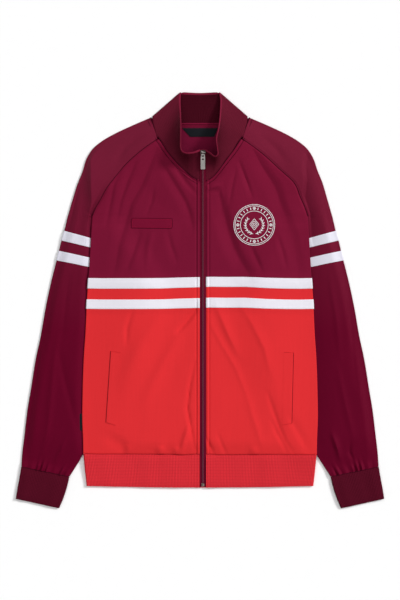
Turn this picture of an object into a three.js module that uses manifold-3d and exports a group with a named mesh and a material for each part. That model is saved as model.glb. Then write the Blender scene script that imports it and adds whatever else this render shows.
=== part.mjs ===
import * as THREE from 'three';
import { mergeVertices } from 'three/addons/utils/BufferGeometryUtils.js';
import Module from 'manifold-3d';

// A zip-up track jacket laid flat on its back, in millimetres.
// +X runs to the right of the view from above, +Y to the collar and +Z up from the table.
// Each panel is a cloth wall. Flat tubes turn over at their folds and are open at their ends.
// Plan tables give the half on the left, as distances from the middle of the back.

const WALL = 1.2; // tricot cloth
const RIB = 2.6; // doubled rib knit of collar, cuffs and hem
const TAPE = 1.0; // woven stripe tape, labels and welts
const SEAM = 0.3; // gap between two pieces that are sewn together
const HOLLOW = 0.8; // air between the two layers of a flat tube
const RIB_HOLLOW = 0.4; // the same inside the hem and the cuffs
const TURN_STEPS = 2; // stations on a quarter turn
const TAPE_ROOM = TAPE + SEAM; // how far a tape on the underside lifts the cloth over it

const ZIP_X = 5.5; // the zip lies a little right of the middle of the back
const ZIP_TAPE_HALF = 5.7;
const FRONT_EDGE = ZIP_TAPE_HALF + SEAM; // from the zip's middle to the edge of a front
const ZIP_SHIFT_REACH = 60; // how far from the zip the right front takes up its offset

const NECK_RISE = 7.5; // the collar lifts the fronts by this much at the neckline
const NECK_RISE_TOP = 350;
const NECK_RISE_DEPTH = 60;
const NECK_RISE_REACH = 85;
const BODY_PUFF = 1.2; // air under the middle of a front
const SLEEVE_PUFF = 2.4; // air in the part of a sleeve beside the body
const SLEEVE_PUFF_WIDTH = 22;
const LIFT_MARGIN = 14; // the body stays lifted this far inside the sleeve that lies under it
const LIFT_FALL = 60; // and comes down to the table over this width
const GATHER_HEIGHT = 0.8; // gathers where a sleeve is drawn into its cuff

const JOIN_Y = 33; // seam between the yoke and the lower panel, under the upper stripe
const HEM_SEAM_Y = -294;
const NECK_BACK_Y = 336;
const STRIPES = [{ top: 43, bottom: 23 }, { top: 3, bottom: -16 }];
const STRIPE_RAMP = 10; // width over which the cloth rises beside a tape under it

// Turns rows of numbers into rows with named columns.
function columns(names, rows) {
  const keys = names.split(' ');
  return rows.map((row) => Object.fromEntries(keys.map((key, i) => [key, row[i]])));
}

// Side of the body from the armpit to the hem seam.
const BODY_SIDE = columns('y x', [
  [159, 205], [105, 208], [42, 212], [2, 215], [-63, 218], [-107, 221],
  [-159, 223], [-220, 224], [-265, 222.5], [-294, 222],
]);

// From the armpit to the neck: where each row starts on the zip edge or the neckline, meets the
// front and the back raglan seam, and ends at the fold along the shoulder.
const RAGLAN = columns('neckX neckY frontX frontY backX backY foldX foldY', [
  [0.5, 150, 205, 159, 205, 159, 244, 186],
  [0.5, 172, 198, 179.5, 195, 182, 234, 218],
  [0.5, 192, 185, 202, 180, 203.5, 223, 246],
  [0.5, 210, 172, 220, 166, 221, 217, 266],
  [0.5, 226, 159, 236.5, 151, 239, 205, 286.5],
  [14.2, 233.5, 143, 255.5, 134, 258, 187, 302],
  [33.5, 250, 124, 273.5, 112, 283, 162, 316.5],
  [59.5, 279.5, 104, 289.5, 88, 311, 130, 331.5],
  [75.5, 303.5, 81, 305.5, 64, 338, 94, 347],
]);

// Tube of the sleeve from below the armpit to the cuff: fold at the outside, seam under the arm.
// Rows 1 to 4 are the edges of its two stripes.
const SLEEVE_TUBE = columns('foldX foldY seamX seamY', [
  [252, 158, 196, 141],
  [258.2, 131.5, 176, 109],
  [263.5, 113.2, 158, 88],
  [268.3, 93.5, 143, 66.5],
  [272.8, 75.4, 133, 48.7],
  [285, 27, 124, 5],
  [294.5, -19, 127, -42],
  [303, -68, 139, -95],
  [313, -115, 154, -143],
  [321, -165, 172, -193],
  [328.5, -210, 190, -236],
  [334, -256, 210, -276],
  [338, -290, 231, -309],
  [340, -316.5, 248, -335.5],
]);
const SLEEVE_STRIPE_ROWS = [1, 3];
const CUFF = columns('foldX foldY seamX seamY', [
  [340.2, -317.2, 248.2, -336.2],
  [343.5, -337, 253, -356],
  [347.5, -358.5, 260, -377.5],
  [350.6, -378, 268, -396.1],
]);

// How high the body's underside lies where a sleeve is under it.
const LIFT = columns('y z', [
  [200, 0], [180, 1.6], [163, 3.5], [147, 4.1], [132, 6.2], [40, 6.2], [22, 4.6], [0, 3.6],
  [-294, 3.5], [-315, 2.2], [-345, 0],
]);

// Largest soft folds of the fronts, drawn on the view: a ridge where height is above zero.
const FRONT_FOLDS = columns('x1 y1 x2 y2 width height', [
  [-62, 268, -150, 96, 22, 1.3],
  [-34, 236, -92, 60, 18, -0.9],
  [-10, 214, -40, 96, 16, 1.0],
  [20, 214, 66, 90, 16, 0.9],
  [70, 270, 160, 120, 22, 1.3],
  [44, 240, 110, 96, 18, -0.8],
  [-30, -30, -60, -200, 26, 0.9],
  [44, -30, 70, -180, 26, 0.8],
  [120, -150, 160, -285, 18, 1.0],
  [-120, -60, -96, -250, 24, -0.8],
]);

// Sections of the collar from its crease at the shoulder to the zip. The base is on the neckline,
// and the top edge differs a little between left and right. Curl is how far the wall leaves the
// neckline flat and stands up at its top.
const COLLAR_FRONT = columns('baseX baseY leftX leftY rightX rightY topZ curl', [
  [88.6, 330, 37, 378, 38.5, 378, 10, 0.2],
  [83, 312, 36, 352, 37.2, 348, 22, 0.5],
  [75, 303.8, 35.7, 330, 34.6, 324, 34, 0.7],
  [59.5, 279.5, 36.2, 307, 30.4, 302, 42, 0.8],
  [46.5, 264.75, 36.4, 288.5, 32.2, 288, 46, 0.8],
  [33.5, 250, 32.8, 278.8, 33.6, 275.6, 47, 0.7],
  [23.85, 241.75, 24.6, 276.4, 28.4, 270.3, 45, 0.55],
  [14.2, 233.5, 14, 278.2, 20, 276.8, 38, 0.4],
  [0.5, 226, 0.5, 283.7, 0.5, 283.7, 31, 0.2],
]);
// Sections of the collar's back, which lies flat, from the crease to the middle.
const COLLAR_BACK = columns('baseX baseY topX topY', [
  [77, 342.8, 30, 395.2],
  [64, 338.9, 24, 394.9],
  [42, 337.4, 16, 394.5],
  [21, 336.8, 8, 394.1],
  [0, 336.6, 0, 393.9],
]);
const CREASE_BASE = { x: 90.5, y: 346.6 };
const CREASE_TOP = { x: 36, y: 394 };
const CREASE_GAP = 0.4; // between the two layers that the crease folds together
const CREASE_TURN = [-90, -45, 0, 45, 90]; // degrees round the crease, from the table up
const COLLAR_SEAM = 0.7; // the thicker rib starts this far from the neckline
const COLLAR_STEPS = 5;

const clamp = (value) => Math.min(1, Math.max(0, value));
const mix = (a, b, t) => a + (b - a) * t;
const ease = (value) => clamp(value) ** 2 * (3 - 2 * clamp(value));

// Straight lines through the rows of a table whose first column falls from row to row.
function lookup(table, key, at, column) {
  let i = 0;
  while (i < table.length - 2 && at < table[i + 1][key]) {
    i += 1;
  }
  const a = table[i];
  const b = table[i + 1];
  return mix(a[column], b[column], clamp((at - a[key]) / (b[key] - a[key])));
}

// Distance from a point to a line between two points, and how far along it the nearest place is.
function toSegment(x, y, x1, y1, x2, y2) {
  const dx = x2 - x1;
  const dy = y2 - y1;
  const along = clamp(((x - x1) * dx + (y - y1) * dy) / (dx * dx + dy * dy));
  return { along, distance: Math.hypot(x - x1 - along * dx, y - y1 - along * dy) };
}

// The right front is the left one mirrored, but moved over near the zip.
function placeX(side, x) {
  if (side < 0) {
    return -x;
  }
  return x + 2 * ZIP_X * (1 - ease(x / ZIP_SHIFT_REACH));
}

const bodySideX = (y) => lookup(BODY_SIDE, 'y', y, 'x');

// Inner edge of the sleeve that lies under the body, as a distance from the middle.
const UNDER_ARM = [
  { y: RAGLAN[0].frontY, x: RAGLAN[0].frontX },
  ...SLEEVE_TUBE.map((row) => ({ y: row.seamY, x: row.seamX })),
];

// Front neckline from the zip to the shoulder, on the left half of the plan.
const NECKLINE_FIRST_ROW = 4;
const NECKLINE = [
  ...RAGLAN.slice(NECKLINE_FIRST_ROW).map((row) => ({ x: row.neckX, y: row.neckY })),
  { x: 94, y: 347 },
];

function neckDistance(x, y) {
  const fromZip = Math.abs(x - ZIP_X * ease(1 - Math.abs(x) / ZIP_SHIFT_REACH));
  let nearest = Infinity;
  for (let i = 1; i < NECKLINE.length; i += 1) {
    const [a, b] = [NECKLINE[i - 1], NECKLINE[i]];
    nearest = Math.min(nearest, toSegment(fromZip, y, a.x, a.y, b.x, b.y).distance);
  }
  return nearest;
}

// Room for the stripe tapes that lie between the body's underside and the table.
function bodyTapeRoom(y) {
  const fromTop = (STRIPES[0].top + STRIPE_RAMP - y) / STRIPE_RAMP;
  const fromBottom = (y - STRIPES[1].bottom + STRIPE_RAMP) / STRIPE_RAMP;
  return TAPE_ROOM * clamp(Math.min(fromTop, fromBottom));
}

// Underside of the back: on the table in the middle, over the sleeves at the sides.
function bodyUnder(x, y) {
  const inside = lookup(UNDER_ARM, 'y', y, 'x') - Math.abs(x);
  const near = 1 - ease((inside - LIFT_MARGIN) / LIFT_FALL);
  return lookup(LIFT, 'y', y, 'z') * near + bodyTapeRoom(y);
}

function foldHeight(x, y) {
  let height = 0;
  for (const fold of FRONT_FOLDS) {
    const { along, distance } = toSegment(x, y, fold.x1, fold.y1, fold.x2, fold.y2);
    const fade = Math.sin(Math.PI * clamp(0.08 + 0.84 * along));
    height += fold.height * fade * Math.exp(-((distance / fold.width) ** 2));
  }
  return height;
}

// Upper face of the fronts. Air and folds fade out at the sides and at the hem.
function frontTop(x, y) {
  const fromSide = bodySideX(Math.min(y, BODY_SIDE[0].y)) - Math.abs(x) + Math.max(0, y - BODY_SIDE[0].y);
  const soft = ease(fromSide / 40) * ease((y - HEM_SEAM_Y) / 40 + 0.3);
  const rise = NECK_RISE * ease((NECK_RISE_TOP - y) / NECK_RISE_DEPTH)
    * (1 - ease(neckDistance(x, y) / NECK_RISE_REACH));
  return bodyUnder(x, y) + 2 * WALL + HOLLOW + rise + soft * (BODY_PUFF + foldHeight(x, y));
}

// A closed wall from rows of stations, each with an outer and an inner point.
function wallGeometry(rows) {
  const across = rows[0].length;
  const layer = rows.length * across;
  const positions = [];
  for (const face of ['outer', 'inner']) {
    for (const row of rows) {
      for (const station of row) {
        positions.push(station[face].x, station[face].y, station[face].z);
      }
    }
  }
  const index = [];
  const quad = (a, b, c, d) => index.push(a, b, c, a, c, d);
  for (let r = 0; r < rows.length - 1; r += 1) {
    for (let c = 0; c < across - 1; c += 1) {
      const a = r * across + c;
      quad(a, a + 1, a + across + 1, a + across);
      quad(layer + a, layer + a + across, layer + a + across + 1, layer + a + 1);
    }
    const left = r * across;
    const right = left + across - 1;
    quad(left, left + across, layer + left + across, layer + left);
    quad(right, layer + right, layer + right + across, right + across);
  }
  for (let c = 0; c < across - 1; c += 1) {
    const last = (rows.length - 1) * across + c;
    quad(c, layer + c, layer + c + 1, c + 1);
    quad(last, last + 1, layer + last + 1, layer + last);
  }
  return outward(positions, index);
}

// Signed volume of a closed triangle mesh, used to turn its faces outward.
function outward(positions, index) {
  const [a, b, c] = [new THREE.Vector3(), new THREE.Vector3(), new THREE.Vector3()];
  let volume = 0;
  for (let i = 0; i < index.length; i += 3) {
    a.fromArray(positions, index[i] * 3);
    b.fromArray(positions, index[i + 1] * 3);
    c.fromArray(positions, index[i + 2] * 3);
    volume += a.dot(b.clone().cross(c));
  }
  const geometry = new THREE.BufferGeometry();
  geometry.setAttribute('position', new THREE.Float32BufferAttribute(positions, 3));
  geometry.setIndex(volume < 0 ? index.slice().reverse() : index);
  geometry.computeVertexNormals();
  return geometry;
}

const at = (plan, z) => new THREE.Vector3(plan.x, plan.y, z);
const between = (a, b, t) => ({ x: mix(a.x, b.x, t), y: mix(a.y, b.y, t) });

function direction(from, to) {
  const length = Math.hypot(to.x - from.x, to.y - from.y);
  return { x: (to.x - from.x) / length, y: (to.y - from.y) / length };
}

// Stations over a straight run on the plan. face gives the height of the outer face, and up is 1
// where that face looks up and -1 where it looks down.
function run(from, to, steps, face, up, thickness) {
  const stations = [];
  for (let i = 0; i <= steps; i += 1) {
    const plan = between(from, to, i / steps);
    const z = face(plan, i / steps);
    stations.push({ outer: at(plan, z), inner: at(plan, z - up * thickness) });
  }
  return stations;
}

// Stations where a panel turns over at a fold towards the seam in its middle. turn is 0 where the
// panel ends flat instead, at a seam with its neighbour.
function turned(edge, inward, face, up, thickness, radius, turn) {
  const stations = [];
  for (let i = 1; i <= TURN_STEPS; i += 1) {
    const angle = (Math.PI / 2) * (i / TURN_STEPS);
    const flat = radius * (1 - i / TURN_STEPS);
    const hollow = radius - thickness;
    const place = (reach, drop) => at(
      { x: edge.x + inward.x * reach, y: edge.y + inward.y * reach },
      face - up * drop,
    );
    stations.push({
      outer: place(mix(flat, radius * (1 - Math.sin(angle)), turn), turn * radius * (1 - Math.cos(angle))),
      inner: place(
        mix(flat, radius - hollow * Math.sin(angle), turn),
        mix(thickness, radius - hollow * Math.cos(angle), turn),
      ),
    });
  }
  return stations;
}

// Radius of the quarter turns at a fold that has its seam in the middle.
const turnRadius = (thickness, hollow) => (2 * thickness + hollow - SEAM) / 2;

const moved = (plan, way, reach) => ({ x: plan.x + way.x * reach, y: plan.y + way.y * reach });

// One row of a front panel, from its inner edge to the side or to the raglan seam.
const FRONT_STEPS = 11;
function frontRow(side, inner, outer, turn) {
  const edge = { x: placeX(side, outer.x), y: outer.y };
  const start = { x: placeX(side, inner.x), y: inner.y };
  const inward = direction(edge, start);
  const radius = turnRadius(WALL, HOLLOW);
  const tangent = moved(edge, inward, radius);
  const face = (plan) => frontTop(plan.x, plan.y);
  return [
    ...run(start, tangent, FRONT_STEPS, face, 1, WALL),
    ...turned(edge, inward, face(tangent), 1, WALL, radius, turn),
  ];
}

// One row of a back panel, from the left side to the right.
const BACK_STEPS = 18;
function backRow(y, halfWidth, turn, sag = 0) {
  const radius = turnRadius(WALL, HOLLOW);
  const ends = [-1, 1].map((side) => ({ x: side * halfWidth, y }));
  const tangents = ends.map((end) => ({ x: end.x - Math.sign(end.x) * radius, y }));
  const face = (plan) => bodyUnder(plan.x, plan.y);
  const stations = run(tangents[0], tangents[1], BACK_STEPS, face, -1, WALL);
  for (const station of stations) {
    const drop = sag * (1 - (station.outer.x / halfWidth) ** 2);
    station.outer.y -= drop;
    station.inner.y -= drop;
  }
  const side = (i) => turned(ends[i], { x: i === 0 ? 1 : -1, y: 0 }, face(tangents[i]), -1, WALL, radius, turn);
  return [...side(0).reverse(), ...stations, ...side(1)];
}

// Rows of a stripe tape or a patch: the outer points of a panel moved out.
function movedOut(rows) {
  return rows.map((row) => row.map(({ outer, inner }) => {
    const normal = outer.clone().sub(inner).normalize();
    return {
      inner: outer.clone().addScaledVector(normal, SEAM),
      outer: outer.clone().addScaledVector(normal, TAPE_ROOM),
    };
  }));
}

const material = (color, roughness, metalness = 0) => (
  new THREE.MeshStandardMaterial({ color, roughness, metalness }));
const MAROON = material(0x6e112d, 0.75);
const RED = material(0xd82e32, 0.72);
const WHITE = material(0xe2dfe9, 0.7);
const RIB_MAROON = material(0x5b1729, 0.9);
const RIB_RED = material(0xd02b36, 0.9);
const ZIP_CLOTH = material(0x5c1028, 0.8);
const ZIP_TEETH = material(0x6b4a52, 0.5);
const METAL = material(0xbeb9b4, 0.35, 0.9);
const LABEL = material(0x191c1e, 0.6);

const jacket = new THREE.Group();
function add(name, geometry, finish) {
  const mesh = new THREE.Mesh(geometry, finish);
  mesh.name = name;
  jacket.add(mesh);
  return mesh;
}
const sideName = (side) => (side < 0 ? 'l' : 'r');

const LOWER_LEVELS = [STRIPES[0].bottom, STRIPES[1].top, STRIPES[1].bottom, -26, -63, -107, -159, -205, -250];
const YOKE_LEVELS = [STRIPES[0].top, 53, 80, 105, 132];

// Fronts: lower panel, yoke and the two tapes that cross each.
function addFront(side) {
  const inner = (y) => ({ x: FRONT_EDGE - ZIP_X, y });
  const level = (y) => frontRow(side, inner(y), { x: bodySideX(y), y }, 1);
  const lower = new Map([JOIN_Y - SEAM / 2, ...LOWER_LEVELS, HEM_SEAM_Y].map((y) => [y, level(y)]));
  const yoke = new Map([JOIN_Y + SEAM / 2, ...YOKE_LEVELS].map((y) => [y, level(y)]));
  const raglanRows = RAGLAN.map((row, i) => frontRow(
    side,
    { x: row.neckX, y: row.neckY },
    { x: row.frontX, y: row.frontY },
    i === 0 ? 0.5 : 0,
  ));
  const name = sideName(side);
  add(`front_lower_${name}`, wallGeometry([...lower.values()]), RED);
  add(`front_yoke_${name}`, wallGeometry([...yoke.values(), ...raglanRows]), MAROON);
  const upperTape = [
    yoke.get(STRIPES[0].top), yoke.get(JOIN_Y + SEAM / 2),
    lower.get(JOIN_Y - SEAM / 2), lower.get(STRIPES[0].bottom),
  ];
  const lowerTape = [lower.get(STRIPES[1].top), lower.get(STRIPES[1].bottom)];
  add(`stripe_front_upper_${name}`, wallGeometry(movedOut(upperTape)), WHITE);
  add(`stripe_front_lower_${name}`, wallGeometry(movedOut(lowerTape)), WHITE);
}

// Back: the same pieces in one from side to side. Its tapes lie on the table.
function addBack() {
  const level = (y) => backRow(y, bodySideX(y), 1);
  const lower = new Map([JOIN_Y - SEAM / 2, ...LOWER_LEVELS, HEM_SEAM_Y].map((y) => [y, level(y)]));
  const yoke = new Map([JOIN_Y + SEAM / 2, ...YOKE_LEVELS].map((y) => [y, level(y)]));
  const last = RAGLAN.length - 1;
  const raglanRows = RAGLAN.map((row, i) => backRow(
    row.backY,
    row.backX,
    i === 0 ? 0.5 : 0,
    i === last ? row.backY - NECK_BACK_Y : 0,
  ));
  add('back_lower', wallGeometry([...lower.values()]), RED);
  add('back_yoke', wallGeometry([...yoke.values(), ...raglanRows]), MAROON);
  const upperTape = [
    yoke.get(STRIPES[0].top), yoke.get(JOIN_Y + SEAM / 2),
    lower.get(JOIN_Y - SEAM / 2), lower.get(STRIPES[0].bottom),
  ];
  const lowerTape = [lower.get(STRIPES[1].top), lower.get(STRIPES[1].bottom)];
  add('stripe_back_upper', wallGeometry(movedOut(upperTape)), WHITE);
  add('stripe_back_lower', wallGeometry(movedOut(lowerTape)), WHITE);
}

// One row round a flat tube that is folded at the outside and seamed at the inside. backEdge is
// where the lower layer ends, and differs from frontEdge above the armpit.
function tubeRow({ fold, frontEdge, backEdge, thickness, hollow, topSteps, underSteps, under, top, turn }) {
  const full = 2 * thickness + hollow;
  const radius = turnRadius(thickness, hollow);
  const foldRadius = full / 2;
  const toFront = direction(fold, frontEdge);
  const toBack = direction(fold, backEdge);
  const backward = { x: -toBack.x, y: -toBack.y };
  const forward = { x: -toFront.x, y: -toFront.y };
  const underFace = () => under;
  const underRun = run(
    moved(backEdge, backward, radius),
    moved(fold, toBack, foldRadius),
    underSteps, underFace, -1, thickness,
  );
  const topRun = run(
    moved(fold, toFront, foldRadius),
    moved(frontEdge, forward, radius),
    topSteps, top, 1, thickness,
  );
  const middle = { x: (toFront.x + toBack.x) / 2, y: (toFront.y + toBack.y) / 2 };
  const foldStations = [];
  for (const degrees of [45, 90, 135]) {
    const angle = THREE.MathUtils.degToRad(180 - degrees);
    const place = (r) => at(
      moved(fold, middle, foldRadius - r * Math.sin(angle)),
      under + foldRadius + r * Math.cos(angle),
    );
    foldStations.push({ outer: place(foldRadius), inner: place(foldRadius - thickness) });
  }
  const backTurn = turned(backEdge, backward, under, -1, thickness, radius, turn);
  const seamTop = topRun[topRun.length - 1].outer.z;
  const frontTurn = turned(frontEdge, forward, seamTop, 1, thickness, radius, turn);
  return [...backTurn.reverse(), ...underRun, ...foldStations, ...topRun, ...frontTurn];
}

// Sleeves: raglan rows from the neck to the armpit, then the tube down to the cuff.
const SLEEVE_TOP_STEPS = 12;
const SLEEVE_UNDER_STEPS = 5;
// How closely the upper layer of the sleeve follows the yoke at each raglan row, from the armpit.
const RAGLAN_FOLLOW = [0, 0.6, 1, 1, 1, 1, 1, 1, 1];
const SLEEVE_UNDER = [0, 1, 1, 1, 1, 0, 0, 0, 0, 0, 0, 0, 0, 0]; // rows lifted by their tapes
const GATHER_ROWS = { 11: 0.25, 12: 1, 13: 0.8 };

function puff(reach) {
  const width = SLEEVE_PUFF_WIDTH;
  return SLEEVE_PUFF * ease(reach / width) * (1 - ease((reach - width) / width));
}

function sleeveRows(side) {
  const plan = (x, y) => ({ x: side * x, y });
  const full = 2 * WALL + HOLLOW;
  const raglanRows = RAGLAN.map((row, i) => {
    const fold = plan(row.foldX, row.foldY);
    const seams = [plan(row.frontX, row.frontY), plan(row.backX, row.backY)];
    const [frontEdge, backEdge] = seams.map((seam) => moved(seam, direction(seam, fold), SEAM));
    const yoke = frontTop(frontEdge.x, frontEdge.y);
    const width = Math.hypot(fold.x - frontEdge.x, fold.y - frontEdge.y);
    const top = (place, t) => (
      mix(full, yoke, RAGLAN_FOLLOW[i] * t * t) + puff(t * width) * (1 - t));
    return tubeRow({
      fold, frontEdge, backEdge, thickness: WALL, hollow: HOLLOW, topSteps: SLEEVE_TOP_STEPS,
      underSteps: SLEEVE_UNDER_STEPS, under: 0, top, turn: i === 0 ? 0.5 : 0,
    });
  });
  const tubeRows = SLEEVE_TUBE.map((row, i) => {
    const fold = plan(row.foldX, row.foldY);
    const seam = plan(row.seamX, row.seamY);
    const under = SLEEVE_UNDER[i] * TAPE_ROOM;
    const width = Math.hypot(fold.x - seam.x, fold.y - seam.y);
    const gather = (GATHER_ROWS[i] ?? 0) * GATHER_HEIGHT;
    const top = (place, t) => {
      const station = Math.round(t * SLEEVE_TOP_STEPS);
      const inside = t > 0 && t < 1;
      return under + full + puff(t * width) + (inside ? gather * (1 + (-1) ** station) : 0);
    };
    return tubeRow({
      fold, frontEdge: seam, backEdge: seam, thickness: WALL, hollow: HOLLOW,
      topSteps: SLEEVE_TOP_STEPS, underSteps: SLEEVE_UNDER_STEPS, under, top, turn: 1,
    });
  });
  return { all: [...raglanRows.reverse(), ...tubeRows], tubeRows };
}

function addSleeve(side) {
  const { all, tubeRows } = sleeveRows(side);
  const name = sideName(side);
  add(`sleeve_${name}`, wallGeometry(all), MAROON);
  SLEEVE_STRIPE_ROWS.forEach((first, i) => {
    const rows = [tubeRows[first], tubeRows[first + 1]];
    add(`stripe_sleeve_${i + 1}_${name}`, wallGeometry(movedOut(rows)), WHITE);
  });
}

// Cuffs: short tubes of doubled rib.
const CUFF_STEPS = 6;
function addCuff(side) {
  const rows = CUFF.map((row) => {
    const fold = { x: side * row.foldX, y: row.foldY };
    const seam = { x: side * row.seamX, y: row.seamY };
    return tubeRow({
      fold, frontEdge: seam, backEdge: seam, thickness: RIB, hollow: RIB_HOLLOW, topSteps: CUFF_STEPS,
      underSteps: CUFF_STEPS, under: 0, top: () => 2 * RIB + RIB_HOLLOW, turn: 1,
    });
  });
  add(`cuff_${sideName(side)}`, wallGeometry(rows), RIB_MAROON);
}

// Hem: one strip of doubled rib from the left front edge round the back to the right front edge.
const HEM_ROWS = columns('y halfWidth sag', [
  [HEM_SEAM_Y - SEAM, 222, 0], [-312, 222, 0.8], [-334, 220, 2], [-353.5, 216, 3.2],
]);
const HEM_FRONT_STEPS = 10;
const HEM_BACK_STEPS = 14;
function addHem() {
  const full = 2 * RIB + RIB_HOLLOW;
  const radius = full / 2;
  const rows = HEM_ROWS.map(({ y, halfWidth, sag }) => {
    const drop = (x) => y - sag * (1 - (x / halfWidth) ** 2);
    const under = (x) => bodyUnder(x, y);
    const front = (side) => {
      const inner = ZIP_X + side * FRONT_EDGE;
      const outer = side * (halfWidth - radius);
      return run({ x: inner, y }, { x: outer, y }, HEM_FRONT_STEPS, (p) => under(p.x) + full, 1, RIB);
    };
    const fold = (side) => [45, 90, 135].map((degrees) => {
      const angle = THREE.MathUtils.degToRad(degrees);
      const centre = side * (halfWidth - radius);
      const place = (r) => at(
        { x: centre + side * r * Math.sin(angle), y },
        under(centre) + radius + r * Math.cos(angle),
      );
      return { outer: place(radius), inner: place(radius - RIB) };
    });
    const back = run(
      { x: radius - halfWidth, y }, { x: halfWidth - radius, y },
      HEM_BACK_STEPS, (p) => under(p.x), -1, RIB,
    );
    const stations = [...front(-1), ...fold(-1), ...back, ...fold(1).reverse(), ...front(1).reverse()];
    for (const { outer, inner } of stations) {
      outer.y = drop(outer.x);
      inner.y = drop(inner.x);
    }
    return stations;
  });
  add('hem_rib', wallGeometry(rows), RIB_RED);
}

// Point of the collar's middle surface between the base and the top of a section.
function collarPoint(section, t) {
  const quarter = (Math.PI / 2) * t;
  const plan = mix(t, Math.sin(quarter), section.curl);
  const rise = mix(t, 1 - Math.cos(quarter), section.curl);
  return section.base.clone().lerp(section.top, plan).setZ(mix(section.base.z, section.top.z, rise));
}

// The collar's sections on one side, from the middle of the back to the zip.
function collarSections(side) {
  const flatZ = RIB / 2;
  const sections = COLLAR_BACK.map((row) => ({
    base: new THREE.Vector3(side * row.baseX, row.baseY, flatZ),
    top: new THREE.Vector3(side * row.topX, row.topY, flatZ),
    curl: 0,
  })).reverse();
  const along = direction(CREASE_BASE, CREASE_TOP);
  const turnMiddle = (RIB + CREASE_GAP) / 2;
  for (const degrees of CREASE_TURN) {
    const angle = THREE.MathUtils.degToRad(degrees);
    const out = turnMiddle * Math.cos(angle);
    const z = RIB + CREASE_GAP / 2 + turnMiddle * Math.sin(angle);
    const place = ({ x, y }) => new THREE.Vector3(side * (x - along.y * -out), y - along.x * out, z);
    sections.push({ base: place(CREASE_BASE), top: place(CREASE_TOP), curl: 0 });
  }
  for (const row of COLLAR_FRONT) {
    const baseX = placeX(side, row.baseX);
    const topX = side < 0 ? -row.leftX : row.rightX;
    const atZip = row === COLLAR_FRONT[COLLAR_FRONT.length - 1];
    sections.push({
      base: new THREE.Vector3(baseX, row.baseY, frontTop(baseX, row.baseY) - WALL / 2),
      top: new THREE.Vector3(atZip ? baseX : topX, side < 0 ? row.leftY : row.rightY, row.topZ),
      curl: row.curl,
    });
  }
  for (const section of sections) {
    const reach = section.top.clone().sub(section.base);
    section.base.addScaledVector(reach.normalize(), COLLAR_SEAM);
  }
  return sections;
}

// Collar: a wall of doubled rib through all sections, left front to right front.
function addCollar() {
  const left = collarSections(-1).reverse();
  const right = collarSections(1).slice(1);
  const sections = [...left, ...right];
  const middle = sections.map((section) => {
    const points = [];
    for (let i = 0; i <= COLLAR_STEPS; i += 1) {
      points.push(collarPoint(section, i / COLLAR_STEPS));
    }
    return points;
  });
  const rows = middle.map((points, s) => points.map((point, i) => {
    const before = middle[Math.max(0, s - 1)][i];
    const after = middle[Math.min(middle.length - 1, s + 1)][i];
    const along = after.clone().sub(before);
    const up = points[Math.min(COLLAR_STEPS, i + 1)].clone().sub(points[Math.max(0, i - 1)]);
    const normal = along.cross(up);
    if (s === 0 || s === middle.length - 1) {
      normal.x = 0; // the ends are cut square along the zip
    }
    normal.normalize();
    return {
      outer: point.clone().addScaledVector(normal, RIB / 2),
      inner: point.clone().addScaledVector(normal, -RIB / 2),
    };
  }));
  add('collar', wallGeometry(rows), RIB_MAROON);
}

// A thin piece that lies on a front, over a four-sided plan from its lower to its upper edge.
const PATCH_GAP = 0.5;
function patchOnFront({ lowerInner, lowerOuter, upperInner, upperOuter, rows, steps }) {
  const stations = [];
  for (let r = 0; r <= rows; r += 1) {
    const start = between(lowerInner, upperInner, r / rows);
    const end = between(lowerOuter, upperOuter, r / rows);
    const face = ({ x, y }) => frontTop(x, y) + PATCH_GAP + TAPE;
    stations.push(run(start, end, steps, face, 1, TAPE));
  }
  return wallGeometry(stations);
}

// Pocket welts and the chest label, by their corners on the plan.
const PATCHES = columns('name lowInX lowInY lowOutX lowOutY topInX topInY topOutX topOutY rows steps', [
  ['pocket_welt_l', -159, -238, -178, -232, -150, -100, -169, -97, 8, 2],
  ['pocket_welt_r', 156, -237, 174, -234, 159, -99, 177, -100, 8, 2],
  ['chest_label', -53, 136, -130, 137, -53, 154, -130, 155, 2, 6],
]);
const PATCH_FINISH = { pocket_welt_l: RED, pocket_welt_r: RED, chest_label: MAROON };
function addPatches() {
  for (const row of PATCHES) {
    const geometry = patchOnFront({
      lowerInner: { x: row.lowInX, y: row.lowInY },
      lowerOuter: { x: row.lowOutX, y: row.lowOutY },
      upperInner: { x: row.topInX, y: row.topInY },
      upperOuter: { x: row.topOutX, y: row.topOutY },
      rows: row.rows,
      steps: row.steps,
    });
    add(row.name, geometry, PATCH_FINISH[row.name]);
  }
}

// A flat plate cut from a plan outline, with its underside at z.
function plate(points, z, thickness) {
  const shape = new THREE.Shape(points.map(([x, y]) => new THREE.Vector2(x, y)));
  const geometry = new THREE.ExtrudeGeometry(shape, { depth: thickness, bevelEnabled: false });
  return geometry.translate(0, 0, z);
}

// Inside of the back neck: a narrow tape along the seam and a label with slanted ends.
const NECK_TAPE = { halfWidth: 58, low: 329.6, high: 335.4 };
const NECK_LABEL = { topLeft: -34, topRight: 34, topY: 327, lowLeft: -19, lowRight: 27, lowY: 310.5 };
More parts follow.
